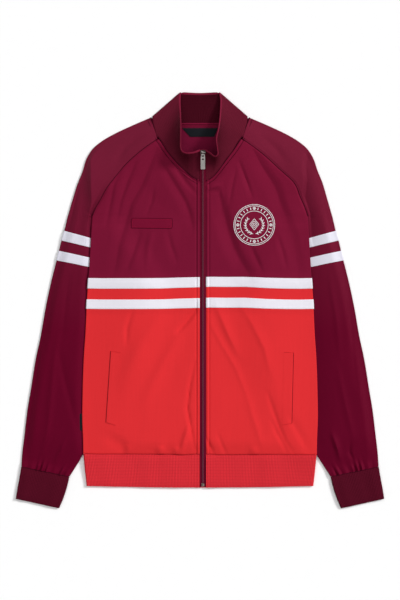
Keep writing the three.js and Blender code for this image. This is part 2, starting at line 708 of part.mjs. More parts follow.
// Tag in the left side seam, standing out over the sleeve.
const SIDE_TAG = { length: 32, width: 7, y: -232 };
function addNeckPieces() {
  const inside = WALL + SEAM;
  const { halfWidth, low, high } = NECK_TAPE;
  const tape = [[-halfWidth, low], [halfWidth, low], [halfWidth, high], [-halfWidth, high]];
  add('neck_tape', plate(tape, inside, TAPE), MAROON);
  const { topLeft, topRight, topY, lowLeft, lowRight, lowY } = NECK_LABEL;
  const label = [[lowLeft, lowY], [lowRight, lowY], [topRight, topY], [topLeft, topY]];
  add('neck_label', plate(label, inside, TAPE), LABEL);
  const right = -bodySideX(SIDE_TAG.y) - SEAM;
  const left = right - SIDE_TAG.width;
  const half = SIDE_TAG.length / 2;
  const seamZ = bodyUnder(right, SIDE_TAG.y) + WALL + HOLLOW / 2;
  const tag = [
    [left, SIDE_TAG.y - half], [right, SIDE_TAG.y - half],
    [right, SIDE_TAG.y + half], [left, SIDE_TAG.y + half],
  ];
  add('side_tag', plate(tag, seamZ - TAPE / 2, TAPE), LABEL);
}

// Zip. Its tape fills the space between the fronts and goes up the front of the collar.
const ZIP_LEVELS = [-355, -334, -312, -298, -282, -250, -205, -159, -107, -63, -26, -16, 3, 23, 43, 53,
  80, 105, 132, 150, 172, 192, 210, 225];
const ZIP_HEM_TOP = 4.6; // upper face of the tape between the hem's ends
const ZIP_COLLAR_STEPS = 6;
const CHAIN = { half: 2, thickness: 1.5, low: -347.5 };
const ZIP_BOX = { half: 2.9, length: 7, thickness: 3.2 };

// Upper face of the zip tape, from the hem to the top of the collar.
function zipPath() {
  const points = ZIP_LEVELS.map((y) => {
    const z = y < HEM_SEAM_Y ? ZIP_HEM_TOP : frontTop(ZIP_X, y);
    return new THREE.Vector3(ZIP_X, y, z);
  });
  const last = [-1, 1].map((side) => collarSections(side).pop());
  for (let i = 1; i <= ZIP_COLLAR_STEPS; i += 1) {
    const [a, b] = last.map((section) => collarPoint(section, i / ZIP_COLLAR_STEPS));
    points.push(a.lerp(b, 0.5).add(new THREE.Vector3(0, 0, WALL / 2)));
  }
  return points;
}

// A band along part of a path in the plane of the zip, lifted off the path by a gap.
function band(path, half, gap, thickness) {
  const rows = path.map((point, i) => {
    const before = path[Math.max(0, i - 1)];
    const after = path[Math.min(path.length - 1, i + 1)];
    const normal = new THREE.Vector3(0, before.z - after.z, after.y - before.y).normalize();
    return [-half, half].map((x) => {
      const start = point.clone().add(new THREE.Vector3(x, 0, 0));
      return {
        inner: start.clone().addScaledVector(normal, gap),
        outer: start.clone().addScaledVector(normal, gap + thickness),
      };
    });
  });
  return wallGeometry(rows);
}

// Part of a path between two places along +Y.
function partOfPath(path, low, high) {
  const at = (y) => {
    const i = path.findIndex((point, k) => k > 0 && point.y >= y);
    const [a, b] = [path[i - 1], path[i]];
    return a.clone().lerp(b, (y - a.y) / (b.y - a.y));
  };
  return [at(low), ...path.filter((point) => point.y > low + 1 && point.y < high - 1), at(high)];
}

// Slider and pull tab, in a frame on the tape with +Z away from it and +Y to the collar's top.
const SLIDER = {
  fromTop: 5.2, // from its middle to the tape's upper end
  topHalf: 5.2,
  lowHalf: 4.0,
  halfLength: 4.4,
  floor: 0.4,
  roof: 4.2,
  crownHalf: 1.6,
  crownReach: 2.6,
  crownTop: 8.0,
  eyeHalf: 1.4,
  eyeLow: 4.6,
  eyeTop: 7.0,
};
const PULL = {
  axisY: -2.4, // from the slider's middle
  axisZ: 5.8,
  thickness: 1.4,
  half: 4.1,
  neckHalf: 3.2,
  length: 30.5,
  bar: 0.7, // half of the cross bar that turns in the slider's eye
  windowHalf: 2.1,
  windowEnd: 4.4,
  holeY: -9.6,
  holeRadius: 1.8,
  corner: 1.2,
};

const wasm = await Module();
wasm.setup();

function joined(first, second) {
  const [a, b] = [first, second].map((geometry) => {
    const plain = geometry.clone();
    plain.deleteAttribute('normal');
    plain.deleteAttribute('uv');
    const merged = mergeVertices(plain);
    return new wasm.Manifold(new wasm.Mesh({
      numProp: 3,
      vertProperties: merged.attributes.position.array,
      triVerts: Uint32Array.from(merged.index.array),
    }));
  });
  const mesh = a.add(b).getMesh();
  const geometry = new THREE.BufferGeometry();
  geometry.setAttribute('position', new THREE.Float32BufferAttribute(mesh.vertProperties, 3));
  geometry.setIndex(Array.from(mesh.triVerts));
  geometry.computeVertexNormals();
  return geometry;
}

function sliderGeometry() {
  const s = SLIDER;
  const body = plate(
    [[-s.lowHalf, -s.halfLength], [s.lowHalf, -s.halfLength], [s.topHalf, 0.6], [s.topHalf - 1, s.halfLength],
      [1 - s.topHalf, s.halfLength], [-s.topHalf, 0.6]],
    s.floor,
    s.roof - s.floor,
  );
  const sunk = s.roof - 1;
  const crown = new THREE.Shape([
    new THREE.Vector2(-s.crownReach, sunk), new THREE.Vector2(s.crownReach, sunk),
    new THREE.Vector2(s.crownReach, s.crownTop - 1.2), new THREE.Vector2(s.crownReach - 1.2, s.crownTop),
    new THREE.Vector2(1.2 - s.crownReach, s.crownTop), new THREE.Vector2(-s.crownReach, s.crownTop - 1.2),
  ]);
  crown.holes.push(new THREE.Path([
    new THREE.Vector2(-s.eyeHalf, s.eyeLow), new THREE.Vector2(-s.eyeHalf, s.eyeTop),
    new THREE.Vector2(s.eyeHalf, s.eyeTop), new THREE.Vector2(s.eyeHalf, s.eyeLow),
  ]));
  const arch = new THREE.ExtrudeGeometry(crown, { depth: 2 * s.crownHalf, bevelEnabled: false });
  arch.applyMatrix4(new THREE.Matrix4().makeBasis(
    new THREE.Vector3(0, 1, 0), new THREE.Vector3(0, 0, 1), new THREE.Vector3(1, 0, 0),
  )).translate(-s.crownHalf, PULL.axisY, 0);
  return joined(body, arch);
}

function pullGeometry() {
  const p = PULL;
  const low = p.bar - p.length;
  const shape = new THREE.Shape();
  shape.moveTo(-p.half + p.corner, low);
  shape.lineTo(p.half - p.corner, low);
  shape.absarc(p.half - p.corner, low + p.corner, p.corner, -Math.PI / 2, 0, false);
  shape.lineTo(p.half, -p.windowEnd - 1);
  shape.lineTo(p.neckHalf, p.bar);
  shape.lineTo(-p.neckHalf, p.bar);
  shape.lineTo(-p.half, -p.windowEnd - 1);
  shape.lineTo(-p.half, low + p.corner);
  shape.absarc(-p.half + p.corner, low + p.corner, p.corner, Math.PI, 1.5 * Math.PI, false);
  const window = new THREE.Path([
    new THREE.Vector2(-p.windowHalf, -p.windowEnd), new THREE.Vector2(-p.windowHalf, -p.bar),
    new THREE.Vector2(p.windowHalf, -p.bar), new THREE.Vector2(p.windowHalf, -p.windowEnd),
  ]);
  const hole = new THREE.Path();
  hole.absarc(0, p.holeY, p.holeRadius, 0, 2 * Math.PI, true);
  shape.holes.push(window, hole);
  const geometry = new THREE.ExtrudeGeometry(shape, {
    depth: p.thickness, bevelEnabled: false, curveSegments: 6,
  });
  return geometry.translate(0, p.axisY, p.axisZ - p.thickness / 2);
}

function addZip() {
  const path = zipPath();
  const top = path[path.length - 1];
  const below = path[path.length - 2];
  const slope = Math.atan2(top.z - below.z, top.y - below.y);
  const way = top.clone().sub(below).normalize();
  const middle = top.clone().addScaledVector(way, -SLIDER.fromTop);
  const mouth = middle.clone().addScaledVector(way, -SLIDER.halfLength - SEAM);
  add('zip_tape', band(path, ZIP_TAPE_HALF, -WALL, WALL), ZIP_CLOTH);
  add('zip_chain', band(partOfPath(path, CHAIN.low, mouth.y), CHAIN.half, SEAM, CHAIN.thickness), ZIP_TEETH);
  const boxTop = CHAIN.low - SEAM;
  const boxPath = partOfPath(path, boxTop - ZIP_BOX.length, boxTop);
  add('zip_box', band(boxPath, ZIP_BOX.half, SEAM, ZIP_BOX.thickness), METAL);
  for (const [name, geometry] of [['zip_slider', sliderGeometry()], ['zip_pull', pullGeometry()]]) {
    const mesh = add(name, geometry, METAL);
    mesh.position.copy(middle);
    mesh.rotation.x = slope;
  }
}

addFront(-1);
addFront(1);
addBack();
addSleeve(-1);
addSleeve(1);
addCuff(-1);
addCuff(1);
addHem();
addCollar();
addPatches();
addNeckPieces();
addZip();

export default jacket;
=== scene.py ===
import math

import bpy
import numpy as np
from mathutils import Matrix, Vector


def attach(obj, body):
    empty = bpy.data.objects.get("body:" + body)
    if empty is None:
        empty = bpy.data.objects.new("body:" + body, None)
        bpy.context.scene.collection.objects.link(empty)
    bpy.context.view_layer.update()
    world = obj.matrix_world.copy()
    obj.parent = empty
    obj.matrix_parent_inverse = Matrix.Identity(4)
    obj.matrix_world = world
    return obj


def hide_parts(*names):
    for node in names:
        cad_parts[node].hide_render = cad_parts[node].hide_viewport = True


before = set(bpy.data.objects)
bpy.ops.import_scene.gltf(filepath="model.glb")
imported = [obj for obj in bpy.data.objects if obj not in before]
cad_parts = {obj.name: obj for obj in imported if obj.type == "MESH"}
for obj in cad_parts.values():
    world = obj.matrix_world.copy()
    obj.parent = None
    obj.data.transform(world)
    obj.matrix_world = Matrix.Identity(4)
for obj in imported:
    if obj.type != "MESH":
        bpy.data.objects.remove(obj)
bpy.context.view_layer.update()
BODY = "jacket"

# Sizes and plan tables are in millimetres, as in the part's own tables, and MM takes them to metres.
MM = 0.001
WALL = 1.2
RIB = 2.6
TAPE = 1.0
SEAM = 0.3
HOLLOW = 0.8
RIB_HOLLOW = 0.4
TAPE_ROOM = TAPE + SEAM
FULL = 2 * WALL + HOLLOW
RIB_FULL = 2 * RIB + RIB_HOLLOW

ZIP_X = 5.5
ZIP_TAPE_HALF = 5.7
FRONT_EDGE = ZIP_TAPE_HALF + SEAM
ZIP_SHIFT_REACH = 60
NECK_RISE = 7.5
NECK_RISE_TOP = 350
NECK_RISE_DEPTH = 60
NECK_RISE_REACH = 85
BODY_PUFF = 6.2
SLEEVE_PUFF = 5.5
LIFT_MARGIN = 14
LIFT_FALL = 60
JOIN_Y = 33
HEM_SEAM_Y = -294
HEM_LOW_Y = -353.5
NECK_BACK_Y = 336
STRIPES = ((43, 23), (3, -16))
STRIPE_RAMP = 10

# Side of the body: y, distance from the middle
BODY_SIDE = np.array([
    (159, 205), (105, 208), (42, 212), (2, 215), (-63, 218), (-107, 221),
    (-159, 223), (-220, 224), (-265, 222.5), (-294, 222),
], float)

# Raglan rows from the armpit to the neck: zip edge or neckline, front seam, back seam, fold
RAGLAN = np.array([
    (0.5, 150, 205, 159, 205, 159, 244, 186),
    (0.5, 172, 198, 179.5, 195, 182, 234, 218),
    (0.5, 192, 185, 202, 180, 203.5, 223, 246),
    (0.5, 210, 172, 220, 166, 221, 217, 266),
    (0.5, 226, 159, 236.5, 151, 239, 205, 286.5),
    (14.2, 233.5, 143, 255.5, 134, 258, 187, 302),
    (33.5, 250, 124, 273.5, 112, 283, 162, 316.5),
    (59.5, 279.5, 104, 289.5, 88, 311, 130, 331.5),
    (75.5, 303.5, 81, 305.5, 64, 338, 94, 347),
], float)
NECKLINE_FIRST_ROW = 4

# Sleeve tube from below the armpit to the cuff: fold x, y, underarm seam x, y
SLEEVE_TUBE = np.array([
    (252, 158, 196, 141),
    (258.2, 131.5, 176, 109),
    (263.5, 113.2, 158, 88),
    (268.3, 93.5, 143, 66.5),
    (272.8, 75.4, 133, 48.7),
    (285, 27, 124, 5),
    (294.5, -19, 127, -42),
    (303, -68, 139, -95),
    (313, -115, 154, -143),
    (321, -165, 172, -193),
    (328.5, -210, 190, -236),
    (334, -256, 210, -276),
    (338, -290, 231, -309),
    (340, -316.5, 248, -335.5),
], float)
SLEEVE_STRIPE_ROWS = (1, 3)
CUFF = np.array([
    (340.2, -317.2, 248.2, -336.2),
    (343.5, -337, 253, -356),
    (347.5, -358.5, 260, -377.5),
    (350.6, -378, 268, -396.1),
], float)

# Height of the body's underside over the sleeves: y, z
LIFT = np.array([
    (200, 0), (180, 1.6), (163, 3.5), (147, 4.1), (132, 6.2), (40, 6.2), (22, 4.6), (0, 3.6),
    (-294, 3.5), (-315, 2.2), (-345, 0),
], float)

# Collar from the crease at the shoulder to the zip: base, left top, right top, top height, curl
COLLAR_FRONT = np.array([
    (88.6, 330, 37, 378, 38.5, 378, 10, 0.2),
    (83, 312, 36, 352, 37.2, 348, 22, 0.5),
    (75, 303.8, 35.7, 330, 34.6, 324, 34, 0.7),
    (59.5, 279.5, 36.2, 307, 30.4, 302, 42, 0.8),
    (46.5, 264.75, 36.4, 288.5, 32.2, 288, 46, 0.8),
    (33.5, 250, 32.8, 278.8, 33.6, 275.6, 47, 0.7),
    (23.85, 241.75, 24.6, 276.4, 28.4, 270.3, 45, 0.55),
    (14.2, 233.5, 14, 278.2, 20, 276.8, 38, 0.4),
    (0.5, 226, 0.5, 283.7, 0.5, 283.7, 31, 0.2),
], float)
COLLAR_BACK = np.array([
    (77, 342.8, 30, 395.2),
    (64, 338.9, 24, 394.9),
    (42, 337.4, 16, 394.5),
    (21, 336.8, 8, 394.1),
    (0, 336.6, 0, 393.9),
], float)
CREASE_BASE = np.array((90.5, 346.6))
CREASE_TOP = np.array((36.0, 394.0))
CREASE_GAP = 0.4
NECK_LAP = 2.0
COLLAR_SEAM = 0.7

# Broad folds of the fronts: x1, y1, x2, y2, width, height
FRONT_FOLDS = np.array([
    (-62, 268, -150, 96, 22, -1.3),
    (-34, 236, -92, 60, 18, 0.9),
    (-10, 214, -40, 96, 16, -1.0),
    (20, 214, 66, 90, 16, -0.9),
    (70, 270, 160, 120, 22, -1.3),
    (44, 240, 110, 96, 18, 0.8),
    (-30, -30, -60, -200, 26, -0.9),
    (44, -30, 70, -180, 26, -0.8),
    (120, -150, 160, -285, 18, -1.0),
    (-120, -60, -96, -250, 24, 0.8),
], float)

# Rib knit: ribs, courses and how deep the ribs are
RIB_PITCH = 3.0
RIB_COURSE = 2.8
RIB_DEPTH = 0.6

FOLD_DEPTH = 2.9
SLEEVE_FOLD_DEPTH = 1.3

# Creases of the fronts as seen: height, width, then the points each runs through. Two widths are those
# to the left and right of a pressed fold
CREASES = [
    # left yoke, fanning down from the corner of the neck
    (-2.0, (20, 12), [(-84, 282), (-94, 258), (-109, 223), (-131, 185), (-142, 147), (-153, 109), (-162, 60)]),
    (-1.3, (13, 9), [(-122, 262), (-137, 228), (-151, 188), (-158, 150)]),
    (-1.0, (10, 8), [(-150, 244), (-163, 222), (-172, 186), (-178, 140)]),
    (-1.3, (16, 10), [(-114, 130), (-121, 106), (-129, 84), (-138, 58)]),
    (-1.5, (18, 9), [(-74, 262), (-56, 232), (-42, 210), (-28, 186), (-19, 162), (-14, 136)]),
    (-0.8, (12, 8), [(-62, 132), (-55, 104), (-44, 72)]),
    (-0.7, (9, 7), [(-88, 210), (-92, 186), (-102, 162)]),
    (-1.2, 4, [(-46, 250), (-26, 222), (-9, 203)]),
    (0.8, 6, [(-90, 130), (-98, 100), (-100, 66)]),
    # right yoke
    (-2.3, (26, 15), [(98, 290), (113, 262), (127, 236), (146, 200), (163, 158), (176, 118), (184, 80), (188, 54)]),
    (-3.2, (27, 15), [(42, 190), (46, 162), (54, 130), (64, 100), (78, 72), (92, 50)]),
    (-1.1, (12, 8), [(96, 104), (107, 78), (118, 54)]),
    (-0.9, (9, 7), [(68, 248), (61, 216), (56, 184)]),
    (-1.1, (10, 7), [(74, 264), (86, 232), (99, 196)]),
    (-0.8, (8, 6), [(36, 208), (40, 182), (42, 158)]),
    (-0.9, (10, 7), [(148, 120), (157, 92), (164, 62)]),
    (-1.1, 4.5, [(44, 246), (26, 231), (14, 220)]),
    (0.7, 3.6, [(40, 218), (28, 216), (16, 211)]),
    (-0.6, 4, [(36, 207), (24, 206), (14, 200)]),
    # lower left
    (-2.4, (13, 9), [(-5, -13), (-14, -27), (-27, -43), (-42, -60)]),
    (1.3, 16, [(-66, -22), (-108, -84), (-146, -152)]),
    (1.2, 12, [(-34, -60), (-74, -128), (-108, -200)]),
    (-1.2, (8, 6), [(-10, -118), (-20, -168), (-24, -206), (-16, -250), (-10, -284)]),
    (1.2, 5, [(-20, -236), (-30, -268), (-36, -292)]),
    (-0.9, (9, 9), [(-128, -20), (-138, -50), (-140, -84)]),
    (-1.3, 11, [(-176, -262), (-150, -276), (-134, -292)]),
    (1.0, 8, [(-137, -274), (-138, -294)]),
    (0.9, 8, [(-76, -276), (-75, -294)]),
    (0.9, 7, [(-44, -278), (-46, -294)]),
    # lower right
    (1.1, (13, 26), [(30, -12), (40, -34), (52, -62), (72, -104)]),
    (0.45, (8, 13), [(14, -34), (38, -80), (66, -126), (98, -205)]),
    (0.7, (12, 20), [(78, -14), (98, -44), (122, -92), (134, -140)]),
    (-0.9, (9, 7), [(128, -176), (138, -205), (150, -240), (162, -268), (178, -291)]),
    (-0.9, (8, 6), [(136, -228), (146, -252), (158, -274), (167, -292)]),
    (-1.0, (12, 15), [(168, -218), (186, -250), (206, -286)]),
    (0.5, (14, 14), [(88, -188), (106, -238), (120, -286)]),
    (-1.2, (9, 7), [(12, -262), (20, -280), (26, -293)]),
    (-0.7, (8, 6), [(34, -254), (42, -276), (50, -293)]),
    (0.8, 8, [(100, -278), (104, -294)]),
]

# Creases of each sleeve, the last ones on parts that face down or lie under the body
SLEEVE_CREASES = {
    -1: [
        (5.6, (18, 60), [(-208, 292), (-208, 262), (-207, 222), (-208, 186), (-211, 156), (-216, 120)]),
        (-1.2, (12, 9), [(-228, 236), (-236, 200), (-246, 150)]),
        (1.8, (15, 12), [(-270, -70), (-276, -110), (-282, -180), (-288, -240), (-298, -292)]),
        (-1.6, (11, 17), [(-268, -96), (-258, -150), (-244, -204), (-228, -262)]),
        (-1.0, (10, 12), [(-250, 44), (-256, -10), (-262, -70)]),
        (1.1, (9, 10), [(-292, -20), (-302, -90), (-308, -160)]),
        (-1.5, 7, [(-112, 312), (-142, 290), (-160, 262)]),
        (1.6, (10, 8), [(-256, -268), (-266, -290), (-276, -306)]),
    ],
    1: [
        (-3.4, (9, 30), [(206, 284), (200, 252), (196, 220), (199, 182), (204, 148), (212, 112)]),
        (1.2, (10, 12), [(238, 226), (246, 190), (252, 140)]),
        (1.2, (10, 14), [(246, 40), (258, -30), (266, -110)]),
        (-1.2, (14, 11), [(284, -10), (290, -90), (300, -170)]),
        (1.3, (13, 12), [(262, -130), (276, -200), (292, -262)]),
        (-1.2, 8, [(116, 312), (144, 288), (164, 260)]),
        (3.0, (9, 13), [(250, -252), (260, -280), (266, -304)]),
        (-2.0, (8, 7), [(286, -270), (284, -290), (292, -304)]),
    ],
}


# How the laid cloth has shifted. Along y at the stripes and at the hem's seam: x, shift
STRIPE_SWAY = np.array([
    (-212, -1.5), (-185, -2.0), (-100, -1.9), (-70, -1.5), (-40, -0.2), (-15, 0.5), (5, 1.2), (20, 1.9),
    (50, 1.5), (85, 1.6), (105, 0.5), (125, -0.8), (160, -1.9), (190, -2.2), (208, -1.7),
])
HEM_SWAY = np.array([
    (-220, 2.2), (-190, 1.0), (-60, 0.6), (-30, -0.4), (-8, 0.8), (18, 0.8), (34, -0.4), (120, 0.2), (222, 0),
])
# Along x where the raglan seams bulge: place x, y, shift, reach along x and y
RAGLAN_SWAY = ((-192, 188, 3, 28, 20), (172, 224, 9, 40, 24))


def mix(a, b, t):
    return a + (b - a) * t


def ease(value):
    value = np.clip(value, 0, 1)
    return value * value * (3 - 2 * value)


def column(table, at, key=0, value=1):
    """Straight lines through a table whose key falls from row to row."""
    return np.interp(at, table[::-1, key], table[::-1, value])


def smooth_rows(rows, per):
    """Rows of numbers with per - 1 more between each two, on curves that never overshoot."""
    rows = np.asarray(rows, float)
    step = np.diff(rows, axis=0)
    slope = np.zeros_like(rows)
    same = step[:-1] * step[1:] > 0
    total = np.where(same, step[:-1] + step[1:], 1)
    slope[1:-1] = np.where(same, 2 * step[:-1] * step[1:] / total, 0)
    slope[0], slope[-1] = step[0], step[-1]
    t = np.arange(0, len(rows) - 1 + 1e-9, 1 / per)
    i = np.minimum(t.astype(int), len(rows) - 2)
    u = (t - i)[:, None]
    h00, h10 = 2 * u ** 3 - 3 * u ** 2 + 1, u ** 3 - 2 * u ** 2 + u
    h01, h11 = 3 * u ** 2 - 2 * u ** 3, u ** 3 - u ** 2
    return h00 * rows[i] + h10 * slope[i] + h01 * rows[i + 1] + h11 * slope[i + 1]


SIDE_FINE = smooth_rows(BODY_SIDE, 8)
LIFT_FINE = smooth_rows(LIFT, 6)
UNDER_ARM = np.vstack([RAGLAN[:1, [3, 2]], SLEEVE_TUBE[:, [3, 2]]])
UNDER_ARM_FINE = smooth_rows(UNDER_ARM, 6)


def body_side_x(y):
    return column(SIDE_FINE, y)


def place_x(side, x):
    """The right front is the left one mirrored, but moved over near the zip."""
    if side < 0:
        return -x
    return x + 2 * ZIP_X * (1 - ease(x / ZIP_SHIFT_REACH))


def to_segment(x, y, a, b):
    dx, dy = b[0] - a[0], b[1] - a[1]
    along = np.clip(((x - a[0]) * dx + (y - a[1]) * dy) / (dx * dx + dy * dy), 0, 1)
    return along, np.hypot(x - a[0] - along * dx, y - a[1] - along * dy)


def neck_distance(x, y):
    line = [tuple(row) for row in RAGLAN[NECKLINE_FIRST_ROW:, :2]] + [(94, 347)]
    from_zip = np.abs(x - ZIP_X * ease(1 - np.abs(x) / ZIP_SHIFT_REACH))
    return np.min([to_segment(from_zip, y, a, b)[1] for a, b in zip(line, line[1:])], axis=0)


def body_tape_room(y):
    from_top = (STRIPES[0][0] + STRIPE_RAMP - y) / STRIPE_RAMP
    from_bottom = (y - STRIPES[1][1] + STRIPE_RAMP) / STRIPE_RAMP
    return TAPE_ROOM * np.clip(np.minimum(from_top, from_bottom), 0, 1)


def body_under(x, y):
    inside = column(UNDER_ARM_FINE, y) - np.abs(x)
    near = 1 - ease((inside - LIFT_MARGIN) / LIFT_FALL)
    return column(LIFT_FINE, y) * near + body_tape_room(y)


def fold_height(x, y):
    height = np.zeros_like(x)
    for x1, y1, x2, y2, width, tall in FRONT_FOLDS:
        along, distance = to_segment(x, y, (x1, y1), (x2, y2))
        fade = np.sin(math.pi * np.clip(0.08 + 0.84 * along, 0, 1))
        height += tall * fade * np.exp(-(distance / width) ** 2)
    return height


def settled(points):
    """The cloth's points after it was laid down, a little off its pattern."""
    points = points.copy()
    x, y = points[:, 0].copy(), points[:, 1].copy()
    body = np.exp(-(np.maximum(0, np.abs(x) - 222) / 12) ** 2)
    points[:, 1] += body * np.interp(x, *STRIPE_SWAY.T) * np.exp(-((y - 13) / 50) ** 2)
    points[:, 1] += body * np.interp(x, *HEM_SWAY.T) * np.exp(-((y - HEM_SEAM_Y) / 14) ** 2)
    for at_x, at_y, shift, reach_x, reach_y in RAGLAN_SWAY:
        points[:, 0] += shift * np.exp(-((x - at_x) / reach_x) ** 2 - ((y - at_y) / reach_y) ** 2)
    return points


def crease_height(creases, x, y):
    """Soft troughs and ridges along given lines."""
    height = np.zeros_like(x)
    for tall, width, points in creases:
        lengths = [math.dist(a, b) for a, b in zip(points, points[1:])]
        done = 0
        nearest = np.full_like(x, np.inf)
        place = np.zeros_like(x)
        right = np.zeros(x.shape, bool)
        for a, b, length in zip(points, points[1:], lengths):
            along, distance = to_segment(x, y, a, b)
            closer = distance < nearest
            nearest = np.where(closer, distance, nearest)
            place = np.where(closer, (done + along * length) / sum(lengths), place)
            beside = ((x - a[0]) * (b[1] - a[1]) - (y - a[1]) * (b[0] - a[0])) * np.sign(b[1] - a[1])
            right = np.where(closer, beside > 0, right)
            done += length
        fade = np.sin(math.pi * np.clip(0.06 + 0.88 * place, 0, 1)) ** 0.8
        if isinstance(width, tuple):
            reach = np.where(right, width[1], width[0])
            height += tall * fade * np.maximum(0, 1 - nearest / reach) ** 2
        else:
            height += tall * fade * np.exp(-(nearest / width) ** 2)
    return height


def not_deeper(height, room):
    """Troughs that flatten out before they reach the layer below."""
    return np.where(height < 0, -room * (1 - np.exp(np.minimum(height, 0) / room)), height)


def front_top(x, y, creased=True):
    from_side = body_side_x(np.minimum(y, BODY_SIDE[0, 0])) - np.abs(x) + np.maximum(0, y - BODY_SIDE[0, 0])
    soft = ease(from_side / 100) * ease((y - HEM_SEAM_Y) / 40 + 0.3)
    rise = NECK_RISE * ease((NECK_RISE_TOP - y) / NECK_RISE_DEPTH)
    rise = rise * (1 - ease(neck_distance(x, y) / NECK_RISE_REACH))
    puff = BODY_PUFF * mix(0.3, 1, ease(neck_distance(x, y) / 70))
    top = body_under(x, y) + FULL + rise + soft * (puff + fold_height(x, y))
    if creased:
        near_edge = ease(from_side / 14)
        top = top + near_edge * not_deeper(FOLD_DEPTH * crease_height(CREASES, x, y), 0.9 + 0.9 * puff * soft)
        top = top + stitched_band(neck_distance(x, y), NECK_BAND)
        top = top + stitched_band(np.abs(x - ZIP_X) - FRONT_EDGE, ZIP_BAND)
    return top


# Width of the seam allowance that is stitched down beside the neck and the zip
NECK_BAND = 6.2
ZIP_BAND = 5.6


def stitched_band(distance, width):
    """A slight swell over a seam allowance, and the dent of the stitches that hold it."""
    swell = np.exp(-((distance - width / 2) / (width * 0.38)) ** 2)
    dent = np.exp(-((distance - width - 0.4) / 1.5) ** 2)
    return 0.95 * swell - 0.9 * dent


# Mesh making

def object_from(name, vertices, faces, material, slot, node=None, uv=None, sharp=40, inside=None):
    """A mesh in metres, riding on the jacket, that stands for a node of the same name."""
    mesh = bpy.data.meshes.new(name)
    vertices = settled(np.asarray(vertices, float).reshape(-1, 3)) * MM
    faces = np.asarray(faces, int)
    mesh.vertices.add(len(vertices))
    mesh.vertices.foreach_set("co", vertices.ravel())
    count, size = faces.shape
    mesh.loops.add(count * size)
    mesh.loops.foreach_set("vertex_index", faces.ravel())
    mesh.polygons.add(count)
    mesh.polygons.foreach_set("loop_start", np.arange(count) * size)
    mesh.polygons.foreach_set("loop_total", np.full(count, size))
    mesh.update(calc_edges=True)
    if uv is not None:
        layer = mesh.uv_layers.new(name="cloth")
        layer.data.foreach_set("uv", np.asarray(uv, float)[faces.ravel()].ravel())
    mesh.validate()
    mesh.shade_smooth()
    mesh.set_sharp_from_angle(angle=math.radians(sharp))
    mesh.materials.append(material)
    if inside is not None:
        other, first, last = inside
        mesh.materials.append(other)
        kind = np.zeros(count, int)
        kind[first:last] = 1
        mesh.polygons.foreach_set("material_index", kind)
    piece = bpy.data.objects.new(name, mesh)
    bpy.context.scene.collection.objects.link(piece)
    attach(piece, BODY)
    if node:
        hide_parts(node)
    return piece


def wall_faces(rows, across, closed=False):
    """Quads of a closed wall whose outer layer comes before its inner one."""
    layer = rows * across
    r, c = np.meshgrid(np.arange(rows - 1), np.arange(across - 1), indexing="ij")
    a = (r * across + c).ravel()
    outer = np.stack([a, a + 1, a + across + 1, a + across], 1)
    inner = np.stack([layer + a, layer + a + across, layer + a + across + 1, layer + a + 1], 1)
    r = np.arange(rows - 1) * across
    left = np.stack([r, r + across, layer + r + across, layer + r], 1)
    e = r + across - 1
    right = np.stack([e, layer + e, layer + e + across, e + across], 1)
    c = np.arange(across - 1)
    first = np.stack([c, layer + c, layer + c + 1, c + 1], 1)
    d = (rows - 1) * across + c
    last = np.stack([d, d + 1, layer + d + 1, layer + d], 1)
    return np.vstack([outer, inner, left, right, first, last])


def volume_sign(vertices, faces):
    a, b, c, d = (vertices[faces[:, i]] for i in range(4))
    volume = np.einsum("ij,ij->i", a, np.cross(b, c)) + np.einsum("ij,ij->i", a, np.cross(c, d))
    return np.sign(volume.sum())


def wall_object(name, outer, inner, material, slot, node=None, uv=None, sharp=40, lining=None):
    """A closed wall from arrays of outer and inner points, rows by stations."""
    rows, across = outer.shape[:2]
    vertices = np.vstack([outer.reshape(-1, 3), inner.reshape(-1, 3)])
    faces = wall_faces(rows, across)
    if volume_sign(vertices, faces) < 0:
        faces = faces[:, ::-1]
    if uv is None:
        uv = grid_uv(outer)
    both = np.vstack([uv.reshape(-1, 2), uv.reshape(-1, 2)])
    layer = (rows - 1) * (across - 1)
    inside = None if lining is None else (lining, layer, 2 * layer)
    return object_from(name, vertices, faces, material, slot, node, both, sharp, inside)


def grid_uv(outer):
    """Lengths across and along a sheet, in metres."""
    across = np.linalg.norm(np.diff(outer, axis=1), axis=2).mean(axis=0)
    along = np.linalg.norm(np.diff(outer, axis=0), axis=2).mean(axis=1)
    u = np.concatenate([[0], np.cumsum(across)]) * MM
    v = np.concatenate([[0], np.cumsum(along)]) * MM
    return np.stack(np.meshgrid(u, v), axis=-1)


NEAR_START = np.array([0, 0.5, 1.2, 2, 3, 4, 5, 6, 7, 8, 9.2, 10.5])
NEAR_END = np.array([2.4, 1.2, 0.5, 0])
SHORT_ROW = 40


def stretch(width, count):
    """Places from 0 to 1 along rows of these widths, with closer ones at both ends."""
    scale = 1 / np.maximum(width, SHORT_ROW)[:, None]
    start = NEAR_START[None] * scale
    end = 1 - NEAR_END[None] * scale
    middle = np.linspace(0, 1, count + 2)[None, 1:-1]
    middle = start[:, -1:] + (end[:, :1] - start[:, -1:]) * middle
    return np.concatenate([start, middle, end], axis=1)


TURN_ANGLES = np.radians(np.linspace(0, 90, 7)[1:])


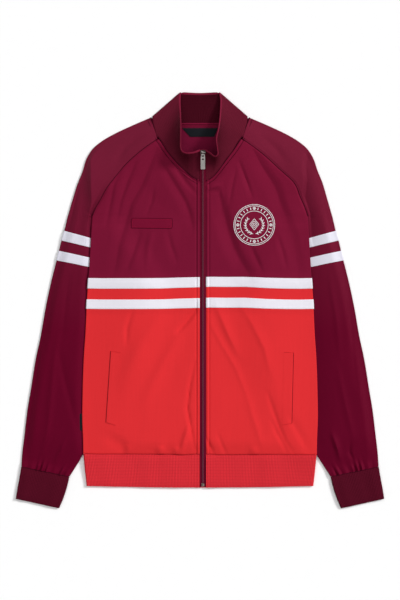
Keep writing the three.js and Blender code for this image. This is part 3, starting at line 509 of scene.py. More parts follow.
def turned(edge, inward, face, up, thickness, radius, turn):
    """Stations where a panel turns over to the seam in the middle of a fold. Arrays over the rows."""
    outers, inners = [], []
    hollow = radius - thickness
    for k, angle in enumerate(TURN_ANGLES):
        flat = radius * (1 - (k + 1) / len(TURN_ANGLES))
        reach_out = mix(flat, radius * (1 - math.sin(angle)), turn)
        reach_in = mix(flat, radius - hollow * math.sin(angle), turn)
        drop_out = turn * radius * (1 - math.cos(angle))
        drop_in = mix(thickness, radius - hollow * math.cos(angle), turn)
        for reach, drop, stations in ((reach_out, drop_out, outers), (reach_in, drop_in, inners)):
            plan = edge + inward * reach[:, None]
            stations.append(np.column_stack([plan, face - up * drop]))
    return np.stack(outers, 1), np.stack(inners, 1)


def unit(vectors):
    return vectors / np.linalg.norm(vectors, axis=-1, keepdims=True)


def seam_round(distance, depth=0.9, reach=2.6):
    """How far the cloth dips towards a sewn edge."""
    return depth * (1 - ease(distance / reach))


def front_rows(side, inner, outer, turn, steps, row_edge):
    """Outer and inner points of a front panel. row_edge is each row's distance to a sewn end."""
    edge = np.column_stack([place_x(side, outer[:, 0]), outer[:, 1]])
    start = np.column_stack([place_x(side, inner[:, 0]), inner[:, 1]])
    inward = unit(start - edge)
    radius = (FULL - SEAM) / 2
    tangent = edge + inward * radius
    width = np.linalg.norm(tangent - start, axis=1)
    places = stretch(width, steps)
    width = width[:, None]
    plan = start[:, None] + (tangent - start)[:, None] * places[..., None]
    x, y = plan[..., 0], plan[..., 1]
    top = front_top(x, y)
    top = top - seam_round(width * places, depth=np.where(start[:, 1] > 225, 0.9, 0.4)[:, None])
    flat_end = (1 - turn)[:, None]
    top = top - flat_end * seam_round(width * (1 - places))
    dip = seam_round(row_edge)[:, None]
    top = top - dip
    face = top[:, -1]
    out_turn, in_turn = turned(edge, inward, face, 1, WALL, radius, turn)
    outer_points = np.concatenate([np.dstack([x, y, top]), out_turn], axis=1)
    inner_points = np.concatenate([np.dstack([x, y, top - WALL]), in_turn], axis=1)
    return outer_points, inner_points


def levels(start, end, step, ends=(0.5, 1.2, 2.4)):
    """Heights on the plan from one seam to another, with closer ones at both."""
    near = np.array([0, *ends])
    sign = np.sign(end - start)
    count = max(2, int(abs(end - start) / step))
    middle = np.linspace(start, end, count + 1)[1:-1]
    return np.concatenate([start + sign * near, middle, (end - sign * near)[::-1]])


FINE = 2.6
FRONT_STEPS = int(210 / FINE)
EDGE_X = FRONT_EDGE - ZIP_X


def level_table(y):
    """Rows of a front across the body at each height y."""
    inner = np.column_stack([np.full_like(y, EDGE_X), y])
    outer = np.column_stack([body_side_x(y), y])
    return inner, outer, np.ones_like(y)


# Materials

def new_material(name):
    material = bpy.data.materials.new(name)
    material.use_nodes = True
    nodes, links = material.node_tree.nodes, material.node_tree.links
    return material, nodes, links, nodes["Principled BSDF"]


def math_node(nodes, links, operation, first, second=None):
    node = nodes.new("ShaderNodeMath")
    node.operation = operation
    for socket, value in zip(node.inputs, (first, second)):
        if value is None:
            continue
        if isinstance(value, (int, float)):
            socket.default_value = value
        else:
            links.new(value, socket)
    return node.outputs[0]


def linear(red, green, blue):
    """Linear colour from eight-bit values."""
    def one(value):
        value /= 255
        return value / 12.92 if value <= 0.04045 else ((value + 0.055) / 1.055) ** 2.4
    return (one(red), one(green), one(blue), 1)


def scaled(color, factor):
    return tuple(min(1, c * factor) for c in color[:3]) + (1,)


def coordinates(nodes, links, scale):
    """Cloth coordinates in units of one stitch."""
    uv = nodes.new("ShaderNodeUVMap")
    uv.uv_map = "cloth"
    mapping = nodes.new("ShaderNodeMapping")
    mapping.inputs["Scale"].default_value = scale
    links.new(uv.outputs["UV"], mapping.inputs["Vector"])
    return mapping.outputs["Vector"]


def object_noise(nodes, links, scale, detail=2.0, roughness=0.5):
    place = nodes.new("ShaderNodeTexCoord")
    noise = nodes.new("ShaderNodeTexNoise")
    noise.inputs["Scale"].default_value = scale
    noise.inputs["Detail"].default_value = detail
    noise.inputs["Roughness"].default_value = roughness
    links.new(place.outputs["Object"], noise.inputs["Vector"])
    return noise.outputs["Fac"]


def varied(nodes, links, factor, dark, light):
    ramp = nodes.new("ShaderNodeMix")
    ramp.data_type = "RGBA"
    links.new(factor, ramp.inputs["Factor"])
    ramp.inputs["A"].default_value = dark
    ramp.inputs["B"].default_value = light
    return ramp.outputs["Result"]


def pure(color):
    """The same hue at full strength, for what a fibre reflects."""
    return tuple(c / max(color[:3]) for c in color[:3]) + (1,)


def cloth(name, color, pitch=0.9, course=0.8, depth=0.12, sheen=0.1, roughness=0.6, spread=0.06,
          slant=0.25, specular=0.35, painted_shade=None, painted_shade_axis="Y", knit_relief_shade=0.12, groove_shade=0.0):
    """Fine knit: wales and courses as bump, with soft changes of tone, and a darker colour painted in as shade along
    one axis of the object: that colour, from, to.
    The last argument says how much darker a rib knit is painted between its ribs and courses, as painted shade."""
    material, nodes, links, shader = new_material(name)
    wales = coordinates(nodes, links, (1000 / pitch, 1000 / course, 1))
    split = nodes.new("ShaderNodeSeparateXYZ")
    links.new(wales, split.inputs[0])
    leaning = math_node(nodes, links, "MULTIPLY_ADD", split.outputs["Y"], slant)
    links.new(split.outputs["X"], leaning.node.inputs[2])
    across = math_node(nodes, links, "SINE", math_node(nodes, links, "MULTIPLY", leaning, 2 * math.pi))
    along = math_node(
        nodes, links, "SINE", math_node(nodes, links, "MULTIPLY", split.outputs["Y"], 2 * math.pi))
    knit = math_node(nodes, links, "ADD", math_node(nodes, links, "MULTIPLY", across, 0.6),
                     math_node(nodes, links, "MULTIPLY", along, 0.4))
    fuzz = object_noise(nodes, links, 900, 3)
    relief = math_node(nodes, links, "ADD", knit, math_node(nodes, links, "MULTIPLY", fuzz, 0.8))
    bump = nodes.new("ShaderNodeBump")
    bump.inputs["Strength"].default_value = 0.35
    bump.inputs["Distance"].default_value = depth * MM
    links.new(relief, bump.inputs["Height"])
    links.new(bump.outputs["Normal"], shader.inputs["Normal"])
    streak = nodes.new("ShaderNodeTexNoise")
    streak.inputs["Scale"].default_value = 1
    streak.inputs["Detail"].default_value = 2
    links.new(coordinates(nodes, links, (260, 16, 1)), streak.inputs["Vector"])
    tone = math_node(nodes, links, "ADD",
                     math_node(nodes, links, "MULTIPLY", object_noise(nodes, links, 14, 3), 0.5),
                     math_node(nodes, links, "MULTIPLY", object_noise(nodes, links, 380, 2), 0.6))
    tone = math_node(nodes, links, "ADD", tone,
                     math_node(nodes, links, "MULTIPLY_ADD", streak.outputs["Fac"], 0.9))
    tone.node.inputs[1].links[0].from_node.inputs[2].default_value = -0.5
    # painted shade: the colour is lighter on the knit's raised wales and courses and darker between them
    tone = math_node(nodes, links, "ADD", math_node(nodes, links, "MULTIPLY", knit, knit_relief_shade), tone)
    dyed = varied(nodes, links, tone, scaled(color, 1 - spread), scaled(color, 1 + spread))
    # painted shade: the colour darkens along one axis of the object towards a second colour
    if painted_shade:
        deep, start, end = painted_shade
        place = nodes.new("ShaderNodeTexCoord")
        axes = nodes.new("ShaderNodeSeparateXYZ")
        links.new(place.outputs["Object"], axes.inputs[0])
        reached = nodes.new("ShaderNodeMapRange")
        reached.inputs["From Min"].default_value = start
        reached.inputs["From Max"].default_value = end
        links.new(axes.outputs[painted_shade_axis], reached.inputs["Value"])
        blend = nodes.new("ShaderNodeMix")
        blend.data_type = "RGBA"
        links.new(reached.outputs["Result"], blend.inputs["Factor"])
        links.new(dyed, blend.inputs["A"])
        links.new(varied(nodes, links, tone, scaled(deep, 1 - spread), scaled(deep, 1 + spread)),
                  blend.inputs["B"])
        dyed = blend.outputs["Result"]
    # painted shade: the rib knit is darkened between its ribs and courses
    if groove_shade:
        cells = nodes.new("ShaderNodeSeparateXYZ")
        links.new(coordinates(nodes, links, (1000 / RIB_PITCH, 1000 / RIB_COURSE, 1)), cells.inputs[0])
        raised = [math_node(nodes, links, "COSINE", math_node(nodes, links, "MULTIPLY", axis, 2 * math.pi))
                  for axis in (cells.outputs["X"], cells.outputs["Y"])]
        deep = math_node(nodes, links, "MULTIPLY_ADD", math_node(nodes, links, "ADD", *raised), -0.25)
        deep.node.inputs[2].default_value = 0.5
        shaded = nodes.new("ShaderNodeMix")
        shaded.data_type = "RGBA"
        shaded.blend_type = "MULTIPLY"
        links.new(math_node(nodes, links, "MULTIPLY", deep, groove_shade), shaded.inputs["Factor"])
        links.new(dyed, shaded.inputs["A"])
        shaded.inputs["B"].default_value = (0.1, 0.1, 0.1, 1)
        dyed = shaded.outputs["Result"]
    links.new(dyed, shader.inputs["Base Color"])
    rough = math_node(nodes, links, "MULTIPLY_ADD", fuzz, 0.16)
    rough.node.inputs[2].default_value = roughness - 0.08
    links.new(rough, shader.inputs["Roughness"])
    shader.inputs["Sheen Weight"].default_value = sheen
    shader.inputs["Sheen Roughness"].default_value = 0.45
    shader.inputs["Sheen Tint"].default_value = pure(color)
    shader.inputs["Specular IOR Level"].default_value = specular
    shader.inputs["Specular Tint"].default_value = pure(color)
    return material


def thread(name, color):
    """Twisted sewing thread, with its ply along the stitches."""
    material, nodes, links, shader = new_material(name)
    place = nodes.new("ShaderNodeTexCoord")
    ply = nodes.new("ShaderNodeTexWave")
    ply.inputs["Scale"].default_value = 700
    ply.inputs["Distortion"].default_value = 2
    links.new(place.outputs["Object"], ply.inputs["Vector"])
    # painted shade: the ply is painted lighter on the same waves that raise its bump
    links.new(varied(nodes, links, ply.outputs["Fac"], scaled(color, 0.82), scaled(color, 1.1)),
              shader.inputs["Base Color"])
    bump = nodes.new("ShaderNodeBump")
    bump.inputs["Strength"].default_value = 0.4
    bump.inputs["Distance"].default_value = 0.1 * MM
    links.new(ply.outputs["Fac"], bump.inputs["Height"])
    links.new(bump.outputs["Normal"], shader.inputs["Normal"])
    shader.inputs["Roughness"].default_value = 0.5
    shader.inputs["Specular IOR Level"].default_value = 0.25
    shader.inputs["Specular Tint"].default_value = pure(color)
    return material


def metal(name, color, metallic):
    """Plated metal with fine scratches and a duller film."""
    material, nodes, links, shader = new_material(name)
    scratch = object_noise(nodes, links, 1500, 4)
    links.new(varied(nodes, links, scratch, scaled(color, 0.8), scaled(color, 1.15)),
              shader.inputs["Base Color"])
    rough = math_node(nodes, links, "MULTIPLY_ADD", object_noise(nodes, links, 260, 3), 0.3)
    rough.node.inputs[2].default_value = 0.18
    links.new(rough, shader.inputs["Roughness"])
    bump = nodes.new("ShaderNodeBump")
    bump.inputs["Strength"].default_value = 0.25
    bump.inputs["Distance"].default_value = 0.05 * MM
    links.new(scratch, bump.inputs["Height"])
    links.new(bump.outputs["Normal"], shader.inputs["Normal"])
    shader.inputs["Metallic"].default_value = metallic
    return material


MAROON = cloth("tricot_maroon", linear(110, 19, 46))
# painted shade: the sleeves are greyer and lighter at the shoulder and painted darker towards the cuffs
SLEEVE_MAROON_SHADED = cloth("tricot_maroon_sleeve_painted_shade", linear(105, 25, 47),
                      painted_shade=(linear(87, 2, 30), 0.27, -0.06))
LINING = cloth("tricot_maroon_inside", linear(102, 17, 45))
RED = cloth("tricot_red", linear(218, 47, 51), spread=0.04)
WHITE = cloth("stripe_tape", linear(232, 229, 238), pitch=0.7, course=1.1, depth=0.15, spread=0.03)
# painted shade: a darker copy of the stripe tape for the sleeves
WHITE_SLEEVE_SHADED = cloth("stripe_tape_sleeve_painted_shade", linear(220, 218, 230), pitch=0.7, course=1.1, depth=0.15,
                     spread=0.03)
RIB_LOOK = {"pitch": 0.8, "course": 0.7, "roughness": 0.75, "knit_relief_shade": 0.3}
# painted shade: the collar's knit is painted darker higher up, towards its top edge
RIB_DARK = cloth("rib_maroon", linear(100, 25, 44), painted_shade=(linear(68, 11, 26), 0.010, 0.032),
                 painted_shade_axis="Z", groove_shade=0.45, **RIB_LOOK)
# painted shade: a darker copy of the collar's knit for its inner face
RIB_INSIDE_SHADED = cloth("rib_maroon_inside_painted_shade", linear(59, 9, 22), groove_shade=0.45, **RIB_LOOK)
# painted highlight: a lighter copy of the collar's knit for its folded top edge
RIB_LIP_HIGHLIT = cloth("rib_maroon_fold_painted_highlight", linear(118, 28, 52), **RIB_LOOK)
RIB_CUFF = cloth("rib_cuff", linear(80, 14, 32), groove_shade=0.45, **RIB_LOOK)
RIB_RED = cloth("rib_red", linear(228, 51, 61), spread=0.04, groove_shade=0.45, **RIB_LOOK)
ZIP_CLOTH = cloth("zip_tape_weave", linear(98, 13, 38), pitch=0.6, course=0.6, depth=0.15)
LABEL = cloth("label_satin", linear(20, 21, 24), pitch=0.3, course=0.5, depth=0.05, roughness=0.6,
              sheen=0, specular=0.1)
LABEL_RED = cloth("label_weave", linear(110, 16, 44), pitch=0.4, course=0.4, depth=0.08)
THREAD_WHITE = thread("thread_white", linear(250, 248, 252))
THREAD_MAROON = thread("thread_maroon", linear(62, 4, 22))
THREAD_RED = thread("thread_red", linear(186, 26, 36))
THREAD_BRIGHT = thread("thread_bright", linear(150, 22, 52))
THREAD_DARK = thread("thread_dark", linear(40, 4, 14))
TEETH = thread("zip_teeth", linear(108, 56, 70))
METAL = metal("zip_metal", linear(204, 200, 196), 0.65)
METAL_DARK = metal("zip_metal_dark", linear(132, 122, 114), 0.6)
METAL_SHADE = metal("zip_metal_shade", linear(78, 66, 64), 0.5)


# Sewing

def resampled(line, pitch):
    """Points at an even pitch along a line of points."""
    line = np.asarray(line, float)
    place = np.concatenate([[0], np.cumsum(np.linalg.norm(np.diff(line, axis=0), axis=1))])
    count = max(2, round(place[-1] / pitch) + 1)
    even = np.linspace(0, place[-1], count)
    return np.stack([np.interp(even, place, line[:, k]) for k in range(line.shape[1])], -1)


def on_front(line, lift=0.0):
    """Lines of the plan laid on the fronts."""
    line = resampled(np.asarray(line, float)[:, :2], 2.0)
    return np.column_stack([line, front_top(line[:, 0], line[:, 1]) + lift])


def stitches(name, lines, material, slot, length=2.3, gap=1.0, half=0.32, tall=0.35):
    """Rows of single stitches, each a small closed spindle, along lines of points."""
    vertices, faces = [], []
    for line in lines:
        points = resampled(line, length + gap)
        for a, b in zip(points, points[1:]):
            way = (b - a) / np.linalg.norm(b - a)
            side = np.cross(way, (0, 0, 1))
            side = side / max(np.linalg.norm(side), 1e-6) * half
            up = np.array((0, 0, tall))
            share = length / (length + gap)
            first = len(vertices)
            for at in (0.25, 0.75):
                middle = a + (b - a) * at * share
                vertices += [middle - side, middle + up, middle + side]
            vertices += [a, a + (b - a) * share]
            start, end = first + 6, first + 7
            ring, far = (first, first + 1, first + 2), (first + 3, first + 4, first + 5)
            for k in range(3):
                m = (k + 1) % 3
                faces += [(ring[k], far[k], far[m]), (ring[k], far[m], ring[m])]
                faces += [(ring[m], start, ring[k]), (far[k], end, far[m])]
    return object_from(name, vertices, faces, material, slot)


def cords(name, lines, material, slot, radius=0.45, sides=6, pitch=4.0, flat=1.0):
    """Threads lying in a seam or satin stitch, as closed tubes along lines of points."""
    vertices, faces = [], []
    for line in lines:
        points = resampled(line, pitch)
        way = unit(np.gradient(points, axis=0))
        side = unit(np.cross(way, (0, 0, 1)))
        up = np.cross(side, way) * flat
        first = len(vertices)
        for k in range(len(points)):
            for angle in np.linspace(0, 2 * math.pi, sides, endpoint=False):
                vertices.append(points[k] + radius * (side[k] * math.cos(angle) + up[k] * math.sin(angle)))
        for k in range(len(points) - 1):
            for j in range(sides):
                a, b = first + k * sides + j, first + k * sides + (j + 1) % sides
                faces += [(a, b, b + sides), (a, b + sides, a + sides)]
        last = first + (len(points) - 1) * sides
        for j in range(1, sides - 1):
            faces += [(first, first + j + 1, first + j), (last, last + j, last + j + 1)]
    return object_from(name, vertices, faces, material, slot)


def raglan_line(side):
    """The raglan seam on the fronts, from the armpit to the neck."""
    rows = smooth_rows(RAGLAN[:, 2:4], 5)
    x, y = rows[:, 0] * side, rows[:, 1]
    return np.column_stack([x, y, front_top(x, y) - 0.75])


def neck_line(side, away, lift=0.0):
    """A line beside the front neckline, on the yoke and the sleeve."""
    rows = smooth_rows(np.vstack([RAGLAN[NECKLINE_FIRST_ROW:, :2], [(94, 347)]]), 6)
    way = unit(np.gradient(rows, axis=0))
    x = place_x(side, rows[:, 0] + way[:, 1] * away)
    y = rows[:, 1] - way[:, 0] * away
    return np.column_stack([x, y, front_top(x, y) + lift])


def across_front(side, y, lift=0.0, start=0.6, inset=3.0):
    half = float(body_side_x(y))
    x = place_x(side, np.linspace(EDGE_X + start, half - inset, 90))
    yy = np.full_like(x, y)
    return np.column_stack([x, yy, front_top(x, yy) + lift])


def beside_zip(side, low, high, lift=0.0):
    y = np.linspace(low, high, int((high - low) / 3))
    x = np.full_like(y, ZIP_X + side * (FRONT_EDGE + ZIP_BAND + 0.4))
    return np.column_stack([x, y, front_top(x, y) + lift])


TAPE_TOP = TAPE + 0.1
STITCH_IN = 1.6


def build_sewing():
    sides = (-1, 1)
    # the dark thread in each seam is partly the real thread and partly painted shade along the seam's groove
    cords("seam_raglan", [raglan_line(side) for side in sides], THREAD_DARK, "cloth_maroon", radius=0.6)
    cords("seam_neck", [neck_line(side, 0.3, -0.35) for side in sides], THREAD_DARK, "rib_maroon", radius=0.75)
    cords("seam_hem", [across_front(side, HEM_SEAM_Y - SEAM / 2, -0.65) for side in sides],
          thread("seam_thread_and_shade_red", linear(120, 10, 22)), "cloth_red", radius=0.6)
    stitches("stitch_neck", [neck_line(side, NECK_BAND + 0.4, 0.5) for side in sides], THREAD_DARK,
             "cloth_maroon", gap=0.7, half=0.65)
    stitches("stitch_zip_yoke", [beside_zip(side, JOIN_Y + 12, 222) for side in sides], THREAD_MAROON,
             "cloth_maroon")
    stitches("stitch_zip_lower", [beside_zip(side, HEM_SEAM_Y + 2, STRIPES[1][1] - 1) for side in sides],
             THREAD_RED, "cloth_red")
    lines = []
    for top, bottom in STRIPES:
        for y in (top - STITCH_IN, bottom + STITCH_IN):
            lines += [across_front(side, y, TAPE_TOP) for side in sides]
    stitches("stitch_stripes", lines, THREAD_WHITE, "stripe_white", half=0.25, tall=0.25)


# Fronts

TAPE_INSET = 0.3


def build_front(side):
    name = "l" if side < 0 else "r"
    lower_y = levels(HEM_SEAM_Y, JOIN_Y - SEAM / 2, FINE)
    inner, outer, turn = level_table(lower_y)
    lower = front_rows(side, inner, outer, turn, FRONT_STEPS, np.minimum(lower_y - HEM_SEAM_Y, 99))
    wall_object(f"cloth_front_lower_{name}", *lower, RED, "cloth_red", f"front_lower_{name}")

    straight_y = levels(JOIN_Y + SEAM / 2, 148, FINE)[:-3]
    inner, outer, turn = level_table(straight_y)
    raglan = smooth_rows(RAGLAN, max(2, int(22 / FINE)))
    inner = np.vstack([inner, raglan[:, :2]])
    outer = np.vstack([outer, raglan[:, 2:4]])
    turn = np.concatenate([turn, np.clip(0.5 - np.arange(len(raglan)) * 0.5 / 8, 0, 1)])
    far = np.full(len(turn), 99.0)
    far[-3:] = (2.0, 1.0, 0)
    yoke = front_rows(side, inner, outer, turn, FRONT_STEPS, far)
    wall_object(f"cloth_front_yoke_{name}", *yoke, MAROON, "cloth_maroon", f"front_yoke_{name}",
                lining=LINING)

    for label, (top, bottom) in zip(("upper", "lower"), STRIPES):
        top, bottom = top - TAPE_INSET, bottom + TAPE_INSET
        tape_y = levels(bottom, top, FINE, ends=(0.4, 0.9))
        inner, outer, turn = level_table(tape_y)
        ends = np.minimum(tape_y - bottom, top - tape_y)
        tape = front_rows(side, inner, outer, turn, FRONT_STEPS, np.full_like(tape_y, 99))
        tape = moved_out(*tape, edge=ends)
        wall_object(f"cloth_stripe_{label}_{name}", *tape, WHITE, "stripe_white",
                    f"stripe_front_{label}_{name}")


def moved_out(outer, inner, edge=None, thickness=TAPE - 0.3, gap=0.12):
    """A thin piece on a panel: the panel's outer points moved out, thinner along its sewn edges."""
    normal = unit(outer - inner)
    if edge is None:
        tall = np.full(outer.shape[0], thickness)
    else:
        tall = thickness * (0.45 + 0.55 * ease(edge / 1.0))
    return outer + normal * (gap + tall)[:, None, None], outer + normal * gap


# Back

def back_rows(y, half_width, turn, sag, steps):
    radius = (FULL - SEAM) / 2
    places = np.linspace(-1, 1, steps)
    x = (half_width - radius)[:, None] * places[None]
    yy = np.repeat(y[:, None], steps, 1)
    z = body_under(x, yy)
    yy = yy - sag[:, None] * (1 - (x / half_width[:, None]) ** 2)
    outer, inner = np.dstack([x, yy, z]), np.dstack([x, yy, z + WALL])
    ends = []
    for sign, station in ((-1, 0), (1, -1)):
        edge = np.column_stack([sign * half_width, y])
        inward = np.column_stack([-sign * np.ones_like(y), np.zeros_like(y)])
        ends.append(turned(edge, inward, z[:, station], -1, WALL, radius, turn))
    first, last = ends
    return (np.concatenate([first[0][:, ::-1], outer, last[0]], 1),
            np.concatenate([first[1][:, ::-1], inner, last[1]], 1))


def build_back():
    steps = int(430 / (FINE * 1.8))
    flat = lambda y: (y, body_side_x(y), np.ones_like(y), np.zeros_like(y))
    lower_y = levels(HEM_SEAM_Y, JOIN_Y - SEAM / 2, FINE * 1.8)
    wall_object("cloth_back_lower", *back_rows(*flat(lower_y), steps), RED, "cloth_red", "back_lower")
    straight_y = levels(JOIN_Y + SEAM / 2, 148, FINE * 1.8)[:-3]
    raglan = smooth_rows(RAGLAN[:, [5, 4]], 5)
    y = np.concatenate([straight_y, raglan[:, 0]])
    half = np.concatenate([body_side_x(straight_y), raglan[:, 1]])
    turn = np.concatenate([np.ones_like(straight_y), np.clip(0.5 - np.arange(len(raglan)) * 0.1, 0, 1)])
    sag = (RAGLAN[-1, 5] - NECK_BACK_Y) * ease((y - 300) / 38)
    wall_object("cloth_back_yoke", *back_rows(y, half, turn, sag, steps), MAROON, "cloth_maroon", "back_yoke",
                lining=LINING)
    for label, (top, bottom) in zip(("upper", "lower"), STRIPES):
        tape_y = levels(bottom, top, 5, ends=(0.4, 0.9))
        tape = moved_out(*back_rows(*flat(tape_y), steps), edge=np.minimum(tape_y - bottom, top - tape_y))
        wall_object(f"cloth_stripe_back_{label}", *tape, WHITE, "stripe_white", f"stripe_back_{label}")


# Sleeves, cuffs and hem

def fold_turn(edge, inward, under, thickness, full):
    """Half a turn round a fold with no seam, from the lower layer to the upper one."""
    outers, inners = [], []
    radius = full / 2
    for angle in np.radians(np.linspace(180, 0, 11)[1:-1]):
        for r, stations in ((radius, outers), (radius - thickness, inners)):
            plan = edge + inward * (radius - r * math.sin(angle))
            stations.append(np.column_stack([plan, under + radius + r * math.cos(angle)]))
    return np.stack(outers, 1), np.stack(inners, 1)


def tube_rows(fold, front_edge, back_edge, thickness, hollow, under, top, turn, steps, under_steps,
              round_seam=True):
    """Rows round a flat tube: lower layer, fold, upper layer. top(plan, places, width) gives heights."""
    full = 2 * thickness + hollow
    radius = (full - SEAM) / 2
    to_front, to_back = unit(front_edge - fold), unit(back_edge - fold)
    middle = unit(to_front + to_back)

    places = np.linspace(0, 1, under_steps)
    start = back_edge - to_back * radius
    end = fold + to_back * full / 2
    plan = start[:, None] + (end - start)[:, None] * places[None, :, None]
    low = np.dstack([plan, np.repeat(under[:, None], under_steps, 1)])
    low_in = low + np.array((0, 0, thickness))

    start = fold + to_front * full / 2
    end = front_edge - to_front * radius
    width = np.linalg.norm(front_edge - fold, axis=1)
    places = stretch(width, steps)
    width = width[:, None]
    plan = start[:, None] + (end - start)[:, None] * places[..., None]
    z = top(plan, places, width)
    if round_seam:
        z = z - (1 - turn)[:, None] * seam_round(width * (1 - places))
    high = np.dstack([plan, z])
    high_in = high - np.array((0, 0, thickness))

    back_out, back_in = turned(back_edge, -to_back, under, -1, thickness, radius, turn)
    seam_out, seam_in = turned(front_edge, -to_front, z[:, -1], 1, thickness, radius, turn)
    fold_out, fold_in = fold_turn(fold, middle, under, thickness, full)
    outer = np.concatenate([back_out[:, ::-1], low, fold_out, high, seam_out], 1)
    inner = np.concatenate([back_in[:, ::-1], low_in, fold_in, high_in, seam_in], 1)
    return outer, inner


# Short gathers above the cuff: place across from the fold to the seam, width, height, length
GATHERS = [
    (0.11, 3.2, -0.6, 16), (0.20, 2.6, 0.7, 14), (0.28, 2.4, -0.7, 20), (0.33, 2.4, 1.9, 13),
    (0.375, 1.9, -1.5, 15), (0.42, 2.6, 2.3, 17), (0.475, 1.9, -1.4, 12), (0.52, 2.3, 1.5, 12),
    (0.60, 3.0, -0.6, 18), (0.68, 3.2, 0.6, 14), (0.76, 2.4, -0.9, 12), (0.82, 3.0, 2.1, 15),
    (0.875, 2.0, -1.5, 11), (0.93, 2.6, 0.8, 9),
]
SLEEVE_UNDER = (0, 1, 1, 1, 1, 0, 0, 0, 0, 0, 0, 0, 0, 0)
RAGLAN_FOLLOW = (0, 0.6, 1, 1, 1, 1, 1, 1, 1)


def sleeve_rows(side, per, steps, under_steps):
    mirror = np.array((side, 1.0))
    raglan = smooth_rows(np.column_stack([RAGLAN, RAGLAN_FOLLOW]), per)[::-1]
    tube = smooth_rows(np.column_stack([
        SLEEVE_TUBE[:, :2], SLEEVE_TUBE[:, 2:], SLEEVE_TUBE[:, 2:], SLEEVE_UNDER]), per)
    bridge = smooth_rows(np.vstack([
        np.concatenate([RAGLAN[0, [6, 7, 2, 3, 4, 5]], [0]]),
        np.concatenate([SLEEVE_TUBE[0], SLEEVE_TUBE[0, 2:], [0]])]), per)[1:-1]
    fold = np.vstack([raglan[:, 6:8], bridge[:, :2], tube[:, :2]])
    front = np.vstack([raglan[:, 2:4], bridge[:, 2:4], tube[:, 2:4]])
    back = np.vstack([raglan[:, 4:6], bridge[:, 4:6], tube[:, 4:6]])
    under = np.concatenate([np.zeros(len(raglan) + len(bridge)), tube[:, 6] * TAPE_ROOM])
    follow = np.concatenate([raglan[:, 8], np.zeros(len(bridge) + len(tube))])
    is_tube = np.concatenate([np.zeros(len(raglan)), np.linspace(0.5, 1, len(bridge)), np.ones(len(tube))])
    turn = np.clip(is_tube, 0, 1)
    turn[len(raglan) - 4:len(raglan)] = (0.1, 0.2, 0.35, 0.5)
    fold, front, back = fold * mirror, front * mirror, back * mirror
    gap = SEAM * (is_tube < 0.01)
    front = front + unit(fold - front) * gap[:, None]
    back = back + unit(fold - back) * gap[:, None]
    from_cuff = np.concatenate([np.full(len(raglan) + len(bridge), 999.0),
                                np.linalg.norm(tube[:, :2] - tube[-1, :2], axis=1)])

    def top(plan, places, width):
        x, y = plan[..., 0], plan[..., 1]
        seam_z = front_top(front[:, 0], front[:, 1], creased=False)[:, None]
        base = under[:, None] + FULL
        reach = np.abs(fold[:, :1]) - np.abs(front[:, :1])
        visible = np.clip((np.abs(fold[:, :1]) - body_side_x(y)) / reach, 0.2, 1)
        visible = np.where(y > BODY_SIDE[0, 0], 1, visible)
        shown = np.clip(places / visible, 0, 1)
        across = width * visible
        rounded = 1 - (1 - np.clip((1 - shown) * across / (16 if side < 0 else 44), 0, 1)) ** 2
        flat_form = ease(shown * across / 20) * rounded
        puff = mix(3.2 * np.sin(math.pi * shown) ** 1.2, SLEEVE_PUFF * flat_form, ease((190 - y) / 60))
        end = from_cuff[:, None]
        puff = puff * ease(end / 70)
        base = base + (RIB_FULL - 0.5 - FULL) * (1 - ease(end / 16))
        z = base + puff + follow[:, None] * (seam_z - base) * places ** 2
        crease = SLEEVE_FOLD_DEPTH * crease_height(SLEEVE_CREASES[side], x, y)
        z = z + crease * ease(shown * 8) * ease((1 - shown) * 8)
        for place, half, tall, length in GATHERS:
            reach = np.exp(-((places - place) * width / half) ** 2)
            z = z + 1.3 * tall * reach * np.exp(-(end / length) ** 2)
        return z

    return tube_rows(fold, front, back, WALL, HOLLOW, under, top, turn, steps, under_steps), len(raglan) + len(bridge)


def build_sleeve(side):
    name = "l" if side < 0 else "r"
    per = max(2, int(26 / FINE))
    (outer, inner), tube_start = sleeve_rows(side, per, int(150 / FINE), 30)
    wall_object(f"cloth_sleeve_{name}", outer, inner, SLEEVE_MAROON_SHADED, "cloth_maroon", f"sleeve_{name}",
                lining=LINING)
    for i, row in enumerate(SLEEVE_STRIPE_ROWS):
        first = tube_start + row * per
        rows = slice(first, first + per + 1)
        edge = np.minimum(np.arange(per + 1), np.arange(per + 1)[::-1]) * 18 / per
        tape = moved_out(outer[rows], inner[rows], edge=edge)
        wall_object(f"cloth_stripe_sleeve_{i + 1}_{name}", *tape, WHITE_SLEEVE_SHADED, "stripe_white",
                    f"stripe_sleeve_{i + 1}_{name}")


RIB_SAMPLES = 4


def ribbed(outer, inner, pitch=RIB_PITCH, depth=RIB_DEPTH):
    """Raises the outer points of a sheet in ribs that run along its rows' direction."""
    length = np.linalg.norm(np.diff(outer, axis=1), axis=2).mean(axis=0)
    place = np.concatenate([[0], np.cumsum(length)])
    wave = depth * (np.cos(2 * math.pi * place / pitch) - 1) / 2
    return outer + unit(outer - inner) * wave[None, :, None], inner


def resample(outer, inner, spacing):
    """The same sheet with evenly spaced stations across."""
    length = np.linalg.norm(np.diff(outer, axis=1), axis=2).mean(axis=0)
    place = np.concatenate([[0], np.cumsum(length)])
    count = max(8, int(place[-1] / spacing))
    even = np.linspace(0, place[-1], count)

    def one(points):
        return np.stack([
            np.stack([np.interp(even, place, row[:, k]) for k in range(3)], -1) for row in points])
    return one(outer), one(inner)


